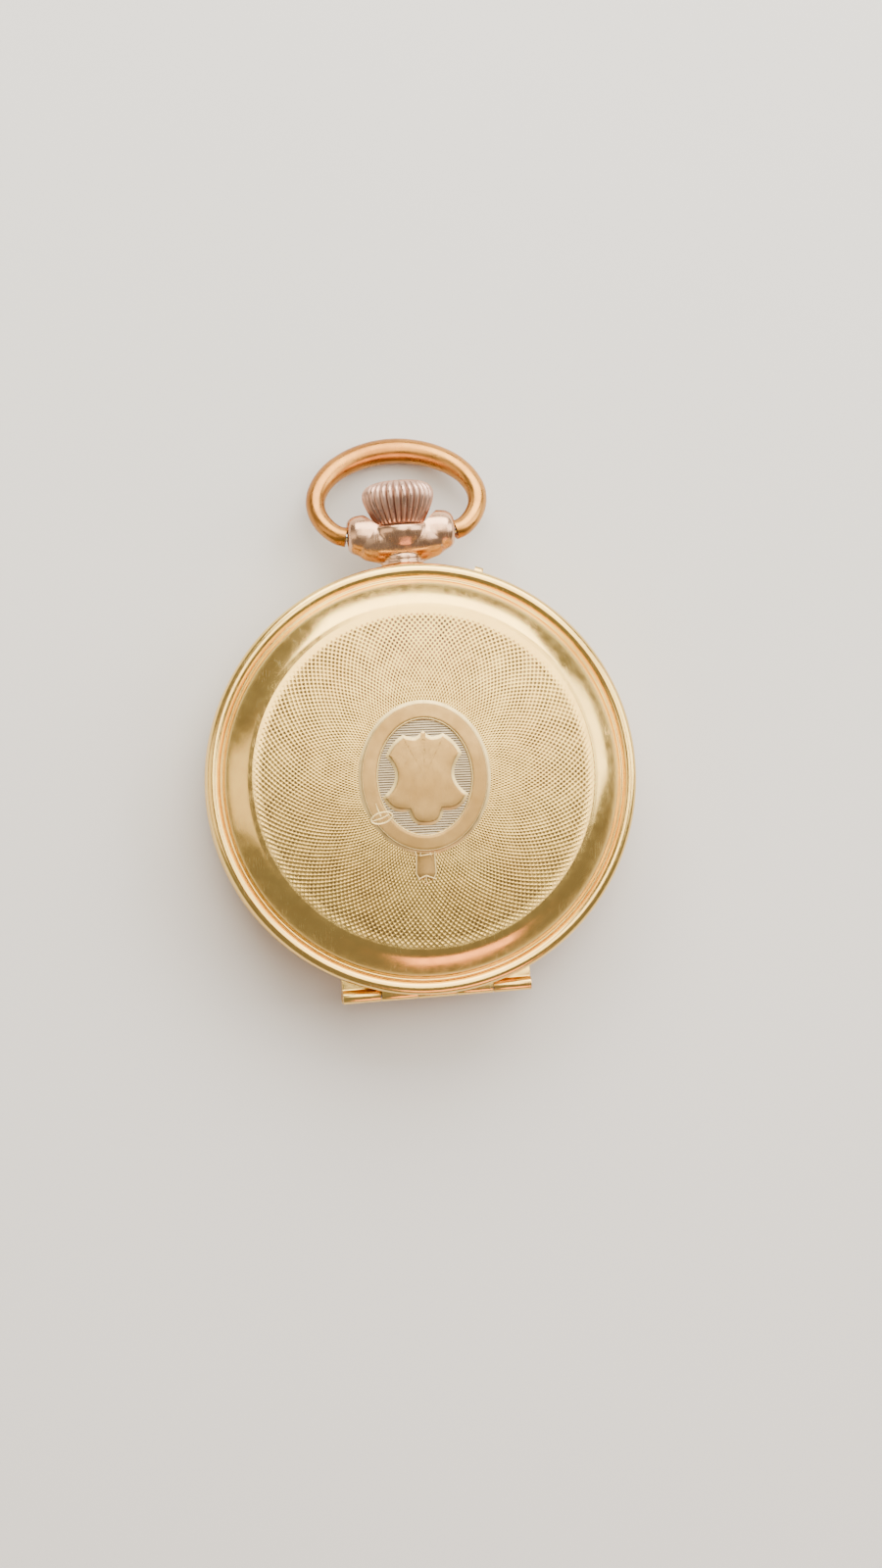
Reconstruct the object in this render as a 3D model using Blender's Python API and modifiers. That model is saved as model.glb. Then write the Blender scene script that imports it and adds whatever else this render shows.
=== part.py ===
"""Hunter pocket watch, lying on its back cover: +Z up, pendant and bow towards +Y, hinges at -Y.

Sizes below are in millimetres. The last step scales every mesh to metres.
"""
import math

import bmesh
import bpy
from mathutils import Matrix, Vector

MM_TO_M = 0.001

# ---- fits
GAP = 0.05                 # running clearance on a radius
SEAT = 0.05                # gap between two faces that sit on each other
TURN_STEPS = 40            # segments round the large turned parts

# ---- case
CASE_R = 25.0              # outer radius of the cover rims
CASE_H = 14.6              # height over both covers
MID_Z = 7.3                # middle of the case band
BAND_H = 3.2               # height of the case band between the two covers
RIM_W = 1.7                # width of the half-round rim outside the step line
RIM_WALL = 1.8             # from the rim to the inside of a cover at its edge
BAND_IN = 0.1              # band inside the rims
BAND_R = CASE_R - BAND_IN
BAND_WALL = 0.9
BAND_FLANGE = 0.45
COVER_WALL = 0.6
REST_R = 9.0               # flat disc in the middle of the back cover
BORDER_W = 5.2             # plain border of a cover, outside its engine turning
TURNED_R = CASE_R - BORDER_W
CUVETTE_WALL = 0.4
CUVETTE_IN = 2.4           # cuvette flange inside the rims
CUVETTE_R = CASE_R - CUVETTE_IN
HINGE_IN = 0.4             # hinge axes inside the rims
HINGE_Y = HINGE_IN - CASE_R
HINGE_OFF = 1.3            # hinge axes above and below the middle of the band
KNUCKLE_R = 0.8
PIN_R = 0.4
HINGE_HALF = 11.0          # half the length of the hinge bar
KNUCKLE_CLEAR = 0.15       # clearance round a knuckle and at its ends
LIP_REACH = 0.4            # thumb lip beyond the rim

# ---- pendant, crown and bow
PENDANT_Y = CASE_R
NECK_R = 2.5
NECK_LEN = 1.4
BORE_R = 0.9               # stem bore through the neck
SOCKET_R = 1.25            # socket that seats in the band
SOCKET_LEN = 0.9
BAND_HOLE_R = SOCKET_R + GAP
BODY_R = 3.9
EAR_R = 2.4
EAR_IN = 3.4
EAR_OUT = 6.28
EAR_Y = PENDANT_Y + 3.9
SADDLE_Y = PENDANT_Y + 4.6
CROWN_SKIRT_R = 2.7
CROWN_R = 4.2
CROWN_FLUTES = 30
CROWN_Y = SADDLE_Y + 0.15
CROWN_LEN = 5.25
CROWN_PRESS = 0.6
STEM_R = 0.6
STEM_END_Y = 14.4
BOW_HALF = 9.6             # bow wire centre, out from the middle
BOW_LEN = 11.8             # bow wire centre, out from its pins
BOW_TOP_R = 1.5
BOW_SIDE_R = 1.1
BOW_PIN_R = 0.5

# ---- springs round the inside of the band
SPRING_IN_R = BAND_R - 3.2
SPRING_OUT_R = BAND_R - 2.4
SPRING_FOOT_R = 0.45
LOCK_SCREW_AT = 40         # degrees round the band
FLY_SCREW_AT = 200

# ---- movement
PLATE_R = 19.8
PLATE_Z0 = MID_Z - 1.05
PLATE_Z1 = MID_Z + 0.5
BRIDGE_Z0 = PLATE_Z0 - 3.25
BRIDGE_Z1 = PLATE_Z0 - 2.25
BRIDGE_R = 19.3
DIAL_Z = MID_Z + 1.55
DIAL_T = 0.45
DIAL_R = 19.9
WHEEL_T = 0.22
ARBOR_R = 0.32
PIVOT_R = 0.15
CENTRE_TEETH = 48
THIRD_TEETH = 45
FOURTH_TEETH = 60
TRAIN_LEAVES = 6
ESCAPE_LEAVES = 6
ESCAPE_TEETH = 15
ESCAPE_R = 3.2
BARREL_TEETH = 56
CENTRE_LEAVES = 8
CENTRE_MOD = 0.2333
THIRD_MOD = 0.22
FOURTH_MOD = 0.15
BARREL_MOD = 0.2475
CANNON_LEAVES = 10
MINUTE_TEETH = 30
MINUTE_LEAVES = 8
HOUR_TEETH = 32
SETTING_TEETH = 22
CANNON_MOD = 0.18
PINION_TEETH = 7           # winding pinion
CROWN_WHEEL_TEETH = 18
RATCHET_TEETH = 34
CROWN_WHEEL_Y = 15.1
CONTRATE_R = 3.2
BALANCE_R = 5.7
BALANCE_SCREWS = 12

# ---- places of the arbors, worked out from the tooth counts
BARREL_DIST = BARREL_MOD * (BARREL_TEETH + CENTRE_LEAVES) / 2
BARREL_AT = (BARREL_DIST * math.cos(math.radians(136)), BARREL_DIST * math.sin(math.radians(136)))
FOURTH_AT = (10.8, 0.0)
CENTRE_THIRD = CENTRE_MOD * (CENTRE_TEETH + TRAIN_LEAVES) / 2
THIRD_FOURTH = THIRD_MOD * (THIRD_TEETH + TRAIN_LEAVES) / 2
THIRD_X = (FOURTH_AT[0] ** 2 + CENTRE_THIRD ** 2 - THIRD_FOURTH ** 2) / (2 * FOURTH_AT[0])
THIRD_AT = (THIRD_X, -math.sqrt(CENTRE_THIRD ** 2 - THIRD_X ** 2))
FOURTH_ESCAPE = FOURTH_MOD * (FOURTH_TEETH + ESCAPE_LEAVES) / 2
ESCAPE_DIR = math.radians(-70)
ESCAPE_AT = (FOURTH_AT[0] + FOURTH_ESCAPE * math.cos(ESCAPE_DIR),
             FOURTH_AT[1] + FOURTH_ESCAPE * math.sin(ESCAPE_DIR))
PALLET_DIR = math.radians(-115)
PALLET_AT = (ESCAPE_AT[0] + 3.7 * math.cos(PALLET_DIR), ESCAPE_AT[1] + 3.7 * math.sin(PALLET_DIR))
FORK_DIR = math.radians(-140)
BALANCE_AT = (PALLET_AT[0] + 4.2 * math.cos(FORK_DIR), PALLET_AT[1] + 4.2 * math.sin(FORK_DIR))
MINUTE_DIST = CANNON_MOD * (CANNON_LEAVES + MINUTE_TEETH) / 2
MINUTE_AT = (0.0, MINUTE_DIST)
SETTING_AT = (0.0, MINUTE_DIST + CANNON_MOD * (MINUTE_TEETH + SETTING_TEETH) / 2)
CROWN_WHEEL_AT = (0.0, CROWN_WHEEL_Y)
RATCHET_GAP = math.dist(BARREL_AT, CROWN_WHEEL_AT)
RATCHET_MOD = 2 * RATCHET_GAP / (RATCHET_TEETH + CROWN_WHEEL_TEETH)
PINION_R = CONTRATE_R * PINION_TEETH / CROWN_WHEEL_TEETH
PINION_Y = CROWN_WHEEL_Y + CONTRATE_R

for old in list(bpy.data.objects):
    bpy.data.objects.remove(old, do_unlink=True)

parts = bpy.data.collections.new("hunter_pocket_watch")
bpy.context.scene.collection.children.link(parts)
work = bpy.data.collections.new("cutters")
bpy.context.scene.collection.children.link(work)

FINISHES = {
    "gold": ((0.83, 0.62, 0.28), 1.0, 0.25),
    "rose_gold": ((0.80, 0.50, 0.33), 1.0, 0.25),
    "gilt": ((0.75, 0.58, 0.30), 1.0, 0.4),
    "nickel": ((0.72, 0.71, 0.68), 1.0, 0.35),
    "steel": ((0.60, 0.61, 0.63), 1.0, 0.25),
    "blued_steel": ((0.05, 0.09, 0.30), 1.0, 0.25),
    "brass": ((0.72, 0.55, 0.25), 1.0, 0.35),
    "enamel": ((0.92, 0.91, 0.87), 0.0, 0.2),
    "glass": ((0.95, 0.97, 0.97), 0.0, 0.05),
    "ruby": ((0.60, 0.03, 0.10), 0.0, 0.1),
}


def link(mesh, name="work"):
    obj = bpy.data.objects.new(name, mesh)
    work.objects.link(obj)
    return obj


def drop(obj):
    mesh = obj.data
    bpy.data.objects.remove(obj, do_unlink=True)
    if mesh.users == 0:
        (bpy.data.meshes if isinstance(mesh, bpy.types.Mesh) else bpy.data.curves).remove(mesh)


def bake(obj):
    """The shape with its modifiers applied, as a plain mesh object in world coordinates."""
    bpy.context.view_layer.update()
    evaluated = obj.evaluated_get(bpy.context.evaluated_depsgraph_get())
    mesh = bpy.data.meshes.new_from_object(evaluated)
    mesh.transform(obj.matrix_world)
    drop(obj)
    bm = bmesh.new()
    bm.from_mesh(mesh)
    bmesh.ops.remove_doubles(bm, verts=bm.verts, dist=1e-4)
    bmesh.ops.dissolve_degenerate(bm, edges=bm.edges, dist=1e-5)
    bmesh.ops.recalc_face_normals(bm, faces=bm.faces)
    bm.to_mesh(mesh)
    bm.free()
    return link(mesh)


def combine(obj, others, operation):
    for other in others:
        mod = obj.modifiers.new(operation.lower(), "BOOLEAN")
        mod.operation = operation
        mod.solver = "EXACT"
        mod.object = other
        obj = bake(obj)
        drop(other)
    return obj


def union(obj, *others):
    return combine(obj, others, "UNION")


def cut(obj, *others):
    return combine(obj, others, "DIFFERENCE")


def turned(profile, steps=TURN_STEPS, at=(0, 0), axis="Z", z=0.0):
    """A turned part: profile points are (radius, height), running down the outer side.

    With axis Z the height is along Z. With axis Y the height is along Y and the axis passes
    through x = at[0], z = at[1].
    """
    mesh = bpy.data.meshes.new("profile")
    closed = not (profile[0][0] == 0 and profile[-1][0] == 0)
    n = len(profile)
    edges = [(i, i + 1) for i in range(n - 1)] + ([(n - 1, 0)] if closed else [])
    mesh.from_pydata([(r, 0, h) for r, h in profile], edges, [])
    obj = link(mesh)
    mod = obj.modifiers.new("turn", "SCREW")
    mod.axis = "Z"
    mod.angle = math.tau
    mod.steps = mod.render_steps = steps
    mod.use_merge_vertices = True
    mod.merge_threshold = 0.0001
    obj = bake(obj)
    if axis == "Y":
        obj.data.transform(Matrix.Rotation(math.radians(-90), 4, "X"))
        obj.data.transform(Matrix.Translation((at[0], 0, at[1])))
    elif axis == "X":
        obj.data.transform(Matrix.Rotation(math.radians(90), 4, "Y"))
        obj.data.transform(Matrix.Translation((0, at[0], at[1])))
    else:
        obj.data.transform(Matrix.Translation((at[0], at[1], z)))
    return obj


def rod(r, start, end, steps=16, phase=0.0):
    """A cylinder of radius r between two points."""
    a, b = Vector(start), Vector(end)
    mesh = bpy.data.meshes.new("rod")
    bm = bmesh.new()
    bmesh.ops.create_cone(bm, cap_ends=True, segments=steps, radius1=r, radius2=r, depth=(b - a).length,
                          matrix=Matrix.Rotation(phase, 4, "Z"))
    bm.to_mesh(mesh)
    bm.free()
    turn = Vector((0, 0, 1)).rotation_difference((b - a).normalized()).to_matrix().to_4x4()
    mesh.transform(Matrix.Translation((a + b) / 2) @ turn)
    return link(mesh)


def post(r, at, z0, z1, steps=16):
    return rod(r, (at[0], at[1], z0), (at[0], at[1], z1), steps)


def block(x0, x1, y0, y1, z0, z1):
    mesh = bpy.data.meshes.new("block")
    bm = bmesh.new()
    bmesh.ops.create_cube(bm, size=1.0)
    bmesh.ops.scale(bm, vec=(x1 - x0, y1 - y0, z1 - z0), verts=bm.verts)
    bmesh.ops.translate(bm, vec=((x0 + x1) / 2, (y0 + y1) / 2, (z0 + z1) / 2), verts=bm.verts)
    bm.to_mesh(mesh)
    bm.free()
    return link(mesh)


def plate(outlines, z0, z1, at=(0, 0)):
    """A flat piece from closed 2D outlines: the first is its edge and the rest are holes."""
    curve = bpy.data.curves.new("outline", "CURVE")
    curve.dimensions = "2D"
    curve.fill_mode = "BOTH"
    curve.extrude = (z1 - z0) / 2
    for points in outlines:
        spline = curve.splines.new("POLY")
        spline.points.add(len(points) - 1)
        for p, (x, y) in zip(spline.points, points):
            p.co = (x, y, 0, 1)
        spline.use_cyclic_u = True
    obj = link(curve)
    obj.location = (at[0], at[1], (z0 + z1) / 2)
    return bake(obj)


def tube(points, radii, resolution=2, caps=True):
    """A round wire through the points, with a radius at each."""
    curve = bpy.data.curves.new("wire", "CURVE")
    curve.dimensions = "3D"
    curve.bevel_depth = 1.0
    curve.bevel_resolution = resolution
    curve.use_fill_caps = caps
    spline = curve.splines.new("POLY")
    spline.points.add(len(points) - 1)
    for p, co, r in zip(spline.points, points, radii):
        p.co = (*co, 1)
        p.radius = r
    return bake(link(curve))


def ring_points(r, n, at=(0, 0), start=0.0, sweep=math.tau):
    full = abs(sweep - math.tau) < 1e-9
    count = n if full else n + 1
    return [(at[0] + r * math.cos(start + sweep * i / n), at[1] + r * math.sin(start + sweep * i / n))
            for i in range(count)]


def teeth_outline(n, module, phase=0.0, add=0.85, ded=1.6, tip=0.17, root=1.0):
    """Wheel or pinion teeth: a tooth is centred on the angle `phase`. A root of 1 makes V gaps."""
    r = module * n / 2
    pitch = math.tau / n
    corners = [(r - ded * module, -root / 2), (r + add * module, -tip / 2), (r + add * module, tip / 2)]
    if root < 1:
        corners.append((r - ded * module, root / 2))
    return [(at_r * math.cos(phase + (i + half) * pitch), at_r * math.sin(phase + (i + half) * pitch))
            for i in range(n) for at_r, half in corners]


def mesh_phase(phase_a, n_a, n_b, direction):
    """The tooth angle of gear B that meshes with gear A, when B lies in `direction` from A."""
    return direction + math.pi - (phase_a - direction) * n_a / n_b + math.pi / n_b


def windows(inner, outer, count, spoke, start=0.0, arc=3):
    """The openings between a wheel's spokes."""
    found = []
    for k in range(count):
        a0 = start + math.tau * k / count
        half_in, half_out = spoke / 2 / inner, spoke / 2 / outer
        sweep = math.tau / count
        found.append(ring_points(outer, arc, start=a0 + half_out, sweep=sweep - 2 * half_out)
                     + ring_points(inner, 1, start=a0 + sweep - half_in, sweep=-(sweep - 2 * half_in)))
    return found


def direction(a, b):
    return math.atan2(b[1] - a[1], b[0] - a[0])


def capsule(a, b, ra, rb, n=5):
    """The outline round two circles."""
    along = direction(a, b)
    lean = math.acos((ra - rb) / math.dist(a, b))
    return (ring_points(rb, n, b, along - lean, 2 * lean)
            + ring_points(ra, n, a, along + lean, math.tau - 2 * lean))


def finish(obj, name, material, origin=(0, 0, 0), smooth=True):
    """Names the part, gives it its own material and puts its origin where it turns."""
    base, metallic, rough = FINISHES[material]
    mat = bpy.data.materials.new(name)
    mat.use_nodes = True
    shader = mat.node_tree.nodes["Principled BSDF"]
    shader.inputs["Base Color"].default_value = (*base, 1)
    shader.inputs["Metallic"].default_value = metallic
    shader.inputs["Roughness"].default_value = rough
    mat.diffuse_color = (*base, 1)
    obj.data.materials.clear()
    obj.data.materials.append(mat)
    obj.data.transform(Matrix.Translation([-c for c in origin]))
    obj.data.transform(Matrix.Scale(MM_TO_M, 4))
    obj.location = [c * MM_TO_M for c in origin]
    obj.name = obj.data.name = name
    if smooth:
        obj.data.shade_smooth()
        obj.data.set_sharp_from_angle(angle=math.radians(32))
    work.objects.unlink(obj)
    parts.objects.link(obj)
    return obj


# ---------------------------------------------------------------- case band
BAND_Z0, BAND_Z1 = MID_Z - BAND_H / 2, MID_Z + BAND_H / 2
FRONT_Z, BACK_Z = MID_Z + HINGE_OFF, MID_Z - HINGE_OFF
CLEAR_R = KNUCKLE_R + KNUCKLE_CLEAR
FRONT_SPANS = {"band": [(-11.0, -6.6), (-2.2, 2.2), (6.6, 11.0)], "cover": [(-6.5, -2.3), (2.3, 6.5)]}
BACK_SPANS = {"band": [(-11.0, -7.0), (7.0, 11.0)], "cover": [(-6.9, -2.6), (2.6, 6.9)],
              "cuvette": [(-2.5, 2.5)]}


def along_hinge(r, x0, x1, z, steps=12):
    return rod(r, (x0, HINGE_Y, z), (x1, HINGE_Y, z), steps)


band = turned([(21.0, BAND_Z1), (BAND_R, BAND_Z1), (BAND_R, BAND_Z0), (20.05, BAND_Z0),
               (20.05, BAND_Z0 + BAND_FLANGE), (BAND_R - BAND_WALL, BAND_Z0 + BAND_FLANGE),
               (BAND_R - BAND_WALL, BAND_Z1 - BAND_FLANGE), (21.0, BAND_Z1 - BAND_FLANGE)])
band = union(band, block(-HINGE_HALF, HINGE_HALF, HINGE_Y - 0.25, HINGE_Y + 2.3,
                         BAND_Z0 + 0.4, BAND_Z1 - 0.4))
band = cut(band, along_hinge(CLEAR_R, -HINGE_HALF - 0.02, HINGE_HALF + 0.02, FRONT_Z),
           along_hinge(CLEAR_R, -HINGE_HALF - 0.03, HINGE_HALF + 0.03, BACK_Z))
for x0, x1 in FRONT_SPANS["band"]:
    band = union(band, along_hinge(KNUCKLE_R, x0, x1, FRONT_Z),
                 block(x0, x1, HINGE_Y + 0.35, HINGE_Y + 1.6, FRONT_Z - 1.0, FRONT_Z + 0.2))
for x0, x1 in BACK_SPANS["band"]:
    band = union(band, along_hinge(KNUCKLE_R, x0, x1, BACK_Z),
                 block(x0, x1, HINGE_Y + 0.35, HINGE_Y + 1.6, BACK_Z - 0.2, BACK_Z + 1.0))
band = cut(band, along_hinge(PIN_R + GAP / 2, -12, 12, FRONT_Z, 8),
           along_hinge(PIN_R + GAP / 2, -12, 12, BACK_Z, 8),
           rod(BAND_HOLE_R, (0, PENDANT_Y - 2.5, MID_Z), (0, PENDANT_Y + 1, MID_Z), 20),
           block(0.7, 3.1, SPRING_IN_R - 0.2, BAND_R - 1.3, BAND_Z1 - 1, BAND_Z1 + 1))
finish(band, "case_band", "gold")

for name, z in (("front_hinge_pin", FRONT_Z), ("back_hinge_pin", BACK_Z)):
    finish(along_hinge(PIN_R, -HINGE_HALF + 0.1, HINGE_HALF - 0.1, z, 8), name, "steel")

# ---------------------------------------------------------------- covers
TOP_Z = CASE_H
RIM_IN = CASE_R - RIM_W            # step line at the foot of the half-round rim
SLOPE_R = (TURNED_R + RIM_IN) / 2  # middle of the polished slope outside the engine turning
EDGE_R = CASE_R - 0.4
INNER_R = CASE_R - RIM_WALL
FRONT_OUT = [(0, TOP_Z), (10, TOP_Z - 0.22), (TURNED_R, TOP_Z - 1.0), (SLOPE_R, TOP_Z - 1.9),
             (RIM_IN, TOP_Z - 3.4), (RIM_IN + 0.45, TOP_Z - 3.2), (CASE_R - 0.6, TOP_Z - 3.35),
             (CASE_R, TOP_Z - 4.2), (EDGE_R, BAND_Z1 + SEAT)]
FRONT_IN = [(INNER_R, BAND_Z1 + SEAT), (INNER_R - 0.1, TOP_Z - 4.2), (SLOPE_R - 0.35, TOP_Z - 2.5),
            (TURNED_R - 0.3, TOP_Z - 1.6), (10, TOP_Z - 0.83), (0, TOP_Z - COVER_WALL)]
BACK_OUT = [(0, 0), (REST_R, 0), (TURNED_R, 0.7), (SLOPE_R, 1.6), (RIM_IN, 3.4),
            (RIM_IN + 0.45, 3.2), (CASE_R - 0.6, 3.35), (CASE_R, 4.2), (EDGE_R, BAND_Z0 - SEAT)]
BACK_IN = [(INNER_R, BAND_Z0 - SEAT), (INNER_R - 0.1, 4.2), (SLOPE_R - 0.25, 2.25), (TURNED_R - 0.2, 1.3),
           (REST_R, COVER_WALL), (0, COVER_WALL)]


def neck_cutter():
    return rod(NECK_R + 0.15, (0, PENDANT_Y - 5, MID_Z), (0, PENDANT_Y + 2, MID_Z), 24)


def cover(profile, z, spans, sign):
    obj = turned(profile)
    obj = cut(obj, neck_cutter(), along_hinge(CLEAR_R, -HINGE_HALF - 0.15, HINGE_HALF + 0.15, z))
    for x0, x1 in spans:
        web = (z + 0.2, z + 1.3) if sign > 0 else (z - 1.3, z - 0.2)
        obj = union(obj, along_hinge(KNUCKLE_R, x0, x1, z),
                    block(x0, x1, HINGE_Y - 0.1, HINGE_Y + 0.85, *web))
    return cut(obj, along_hinge(PIN_R + GAP, -12, 12, z, 8))


front = cover(FRONT_OUT + FRONT_IN, FRONT_Z, FRONT_SPANS["cover"], 1)
finish(front, "front_cover", "gold", (0, HINGE_Y, FRONT_Z))

back = cover(list(reversed(BACK_IN)) + list(reversed(BACK_OUT)), BACK_Z, BACK_SPANS["cover"], -1)
back = cut(back, block(-2.75, 2.75, -CASE_R - 1, HINGE_Y + 2.3, 4.6, 7))
lip = plate([ring_points(CASE_R + LIP_REACH, 8, start=math.radians(33), sweep=math.radians(37.5))
             + ring_points(CASE_R - 0.6, 8, start=math.radians(70.5), sweep=math.radians(-37.5))], 4.5, 5.4)
back = union(back, lip)
finish(back, "back_cover", "gold", (0, HINGE_Y, BACK_Z))

FLANGE_Z = BAND_Z0 - 0.15
CUVETTE = [(0, 2.1), (CUVETTE_R - 3.2, 2.1), (CUVETTE_R - 2.0, 3.4), (CUVETTE_R - 1.1, FLANGE_Z), (CUVETTE_R, FLANGE_Z),
           (CUVETTE_R, FLANGE_Z - 0.4), (CUVETTE_R - 0.8, FLANGE_Z - 0.5), (CUVETTE_R - 1.65, 3.2),
           (CUVETTE_R - 3.0, 2.1 - CUVETTE_WALL), (0, 2.1 - CUVETTE_WALL)]
cuvette = turned(CUVETTE)
cuvette = union(cuvette, block(-2.5, 2.5, HINGE_Y, 0.7 - CUVETTE_R, FLANGE_Z - 0.4, FLANGE_Z),
                along_hinge(KNUCKLE_R, -2.5, 2.5, BACK_Z))
cuvette = cut(cuvette, along_hinge(PIN_R + GAP, -12, 12, BACK_Z, 8))
finish(cuvette, "cuvette", "gold", (0, HINGE_Y, BACK_Z))

# ---------------------------------------------------------------- bezel and crystal
BEZEL_Z = BAND_Z1 + SEAT
bezel = turned([(20.3, BEZEL_Z + 1.6), (20.9, BEZEL_Z + 1.6), (21.7, BEZEL_Z + 0.9), (21.8, BEZEL_Z),
                (20.1, BEZEL_Z), (20.1, BEZEL_Z + 0.95), (20.75, BEZEL_Z + 0.95), (20.75, BEZEL_Z + 1.35),
                (20.3, BEZEL_Z + 1.35)], 36)
finish(bezel, "bezel", "gold")
crystal = turned([(0, BEZEL_Z + 2.6), (12, BEZEL_Z + 2.2), (20.2, BEZEL_Z + 1.3), (20.65, BEZEL_Z + 1.3),
                  (20.65, BEZEL_Z + 1.0), (19.7, BEZEL_Z + 1.0), (12, BEZEL_Z + 1.65), (0, BEZEL_Z + 2.0)], 36)
finish(crystal, "crystal", "glass")

# ---------------------------------------------------------------- pendant, sleeve, bow, crown, stem
NECK_Y = PENDANT_Y + NECK_LEN
CUP_Y = EAR_Y - 0.7                # floor of the cup under the crown
pendant = turned([(BODY_R - 0.25, SADDLE_Y), (BODY_R, SADDLE_Y - 0.5), (BODY_R, CUP_Y),
                  (BODY_R - 0.3, CUP_Y - 0.8), (NECK_R + 0.4, NECK_Y + 0.5), (NECK_R, NECK_Y), (NECK_R, PENDANT_Y), (SOCKET_R, PENDANT_Y),
                  (SOCKET_R, PENDANT_Y - SOCKET_LEN), (BORE_R, PENDANT_Y - SOCKET_LEN), (BORE_R, NECK_Y),
                  (STEM_R + GAP, NECK_Y), (STEM_R + GAP, CUP_Y), (BODY_R - 0.9, CUP_Y), (BODY_R - 0.9, SADDLE_Y)],
                 20, at=(0, MID_Z), axis="Y")
for side in (-1, 1):
    rim = 0.9
    ear = turned([(EAR_R - rim, EAR_OUT), (EAR_R - 0.3, EAR_OUT - 0.35), (EAR_R, EAR_OUT - 0.9),
                  (EAR_R, EAR_IN + 1.3), (EAR_R - 0.38, EAR_IN + 0.38), (EAR_R - 1.3, EAR_IN),
                  (BOW_PIN_R + GAP, EAR_IN), (BOW_PIN_R + GAP, EAR_OUT)],
                 16, at=(EAR_Y, MID_Z), axis="X")
    if side < 0:
        ear.data.transform(Matrix.Scale(-1, 4, (1, 0, 0)))
        ear.data.flip_normals()
    ear = cut(ear, rod(3.4, (0, EAR_Y - 9, MID_Z), (0, EAR_Y + 6, MID_Z), 24))
    pendant = union(pendant, ear)
pendant = cut(pendant, rod(BOW_PIN_R + GAP, (-EAR_OUT - 1, EAR_Y, MID_Z), (-3.6, EAR_Y, MID_Z), 12),
              rod(BOW_PIN_R + GAP, (3.6, EAR_Y, MID_Z), (EAR_OUT + 1, EAR_Y, MID_Z), 12))
finish(pendant, "pendant", "rose_gold")

BOW_DROP = math.asin((MID_Z - BOW_TOP_R - 0.03) / BOW_LEN)
bow_half = [(EAR_OUT + 0.1, 0.0, BOW_SIDE_R), (7.5, 0.05, BOW_SIDE_R), (8.5, 0.55, BOW_SIDE_R),
            (9.2, 1.7, BOW_SIDE_R), (BOW_HALF, 3.4, BOW_SIDE_R), (9.55, 5.2, 1.15), (8.85, 7.1, 1.2),
            (7.4, 9.0, 1.3), (5.3, 10.5, 1.4), (2.8, 11.45, 1.47)]
bow_line = [(x, v, r) for x, v, r in bow_half] + [(0, BOW_LEN, BOW_TOP_R)]
bow_line += [(-x, v, r) for x, v, r in reversed(bow_half)]
bow = tube([(x, EAR_Y + v * math.cos(BOW_DROP), MID_Z - v * math.sin(BOW_DROP)) for x, v, r in bow_line],
           [r for x, v, r in bow_line])
bow = cut(bow, rod(BOW_PIN_R, (-7.8, EAR_Y, MID_Z), (-5.8, EAR_Y, MID_Z), 12),
          rod(BOW_PIN_R, (5.8, EAR_Y, MID_Z), (7.8, EAR_Y, MID_Z), 12))
finish(bow, "bow", "rose_gold", (0, EAR_Y, MID_Z))
for name, side in (("bow_pin_left", -1), ("bow_pin_right", 1)):
    pin = rod(BOW_PIN_R - 0.02, (side * 4.2, EAR_Y, MID_Z), (side * 7.75, EAR_Y, MID_Z), 12)
    finish(pin, name, "steel", (0, EAR_Y, MID_Z))

# the crown is lofted, so that its flutes follow its onion shape
rings = [(CROWN_SKIRT_R, 0.0, 0), (CROWN_SKIRT_R + 0.1, 0.95, 0), (3.7, 1.85, 1),
         (CROWN_R, 2.75, 1), (3.95, 3.8, 1), (2.6, CROWN_LEN - 0.35, 0.3)]
mesh = bpy.data.meshes.new("crown")
bm = bmesh.new()
loops = []
for r, y, depth in rings:
    loop = []
    for i in range(2 * CROWN_FLUTES):
        a = math.tau * i / (2 * CROWN_FLUTES)
        rr = r - (0.2 * depth if i % 2 else 0)
        loop.append(bm.verts.new((rr * math.cos(a), CROWN_Y + y, MID_Z + rr * math.sin(a))))
    loops.append(loop)
for low, high in zip(loops, loops[1:]):
    for i in range(len(low)):
        j = (i + 1) % len(low)
        bm.faces.new((low[i], low[j], high[j], high[i]))
bm.faces.new(loops[0])
tip = bm.verts.new((0, CROWN_Y + CROWN_LEN, MID_Z))
for i in range(len(loops[-1])):
    bm.faces.new((loops[-1][i], loops[-1][(i + 1) % len(loops[-1])], tip))
bmesh.ops.recalc_face_normals(bm, faces=bm.faces)
bm.to_mesh(mesh)
bm.free()
crown = cut(link(mesh), rod(STEM_R + 0.02, (0, CROWN_Y - 0.5, MID_Z), (0, CROWN_Y + 2.5, MID_Z), 12))
finish(crown, "crown", "rose_gold", (0, CROWN_Y, MID_Z))

stem = turned([(0, CROWN_Y + 1.8), (STEM_R, CROWN_Y + 1.8), (STEM_R, 19.7), (0.35, 19.7), (0.35, 19.2),
               (STEM_R, 19.2), (STEM_R, STEM_END_Y), (0, STEM_END_Y)], 12, at=(0, MID_Z), axis="Y")
finish(stem, "winding_stem", "steel", (0, CROWN_Y, MID_Z))

# ---------------------------------------------------------------- springs and screws in the case band
SPRING_Z0, SPRING_Z1 = MID_Z - 0.6, MID_Z + 0.6
SPRING_R = (SPRING_IN_R + SPRING_OUT_R) / 2


def arc_strip(r0, r1, a0, a1, z0, z1, n):
    a0, a1 = math.radians(a0), math.radians(a1)
    return plate([ring_points(r1, n, start=a0, sweep=a1 - a0) + ring_points(r0, n, start=a1, sweep=a0 - a1)],
                 z0, z1)


def polar(r, degrees):
    a = math.radians(degrees)
    return (r * math.cos(a), r * math.sin(a))


def foot_hole(degrees):
    return rod(SPRING_FOOT_R, (*polar(SPRING_IN_R - 1, degrees), MID_Z),
               (*polar(SPRING_OUT_R + 1, degrees), MID_Z), 12)


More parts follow.
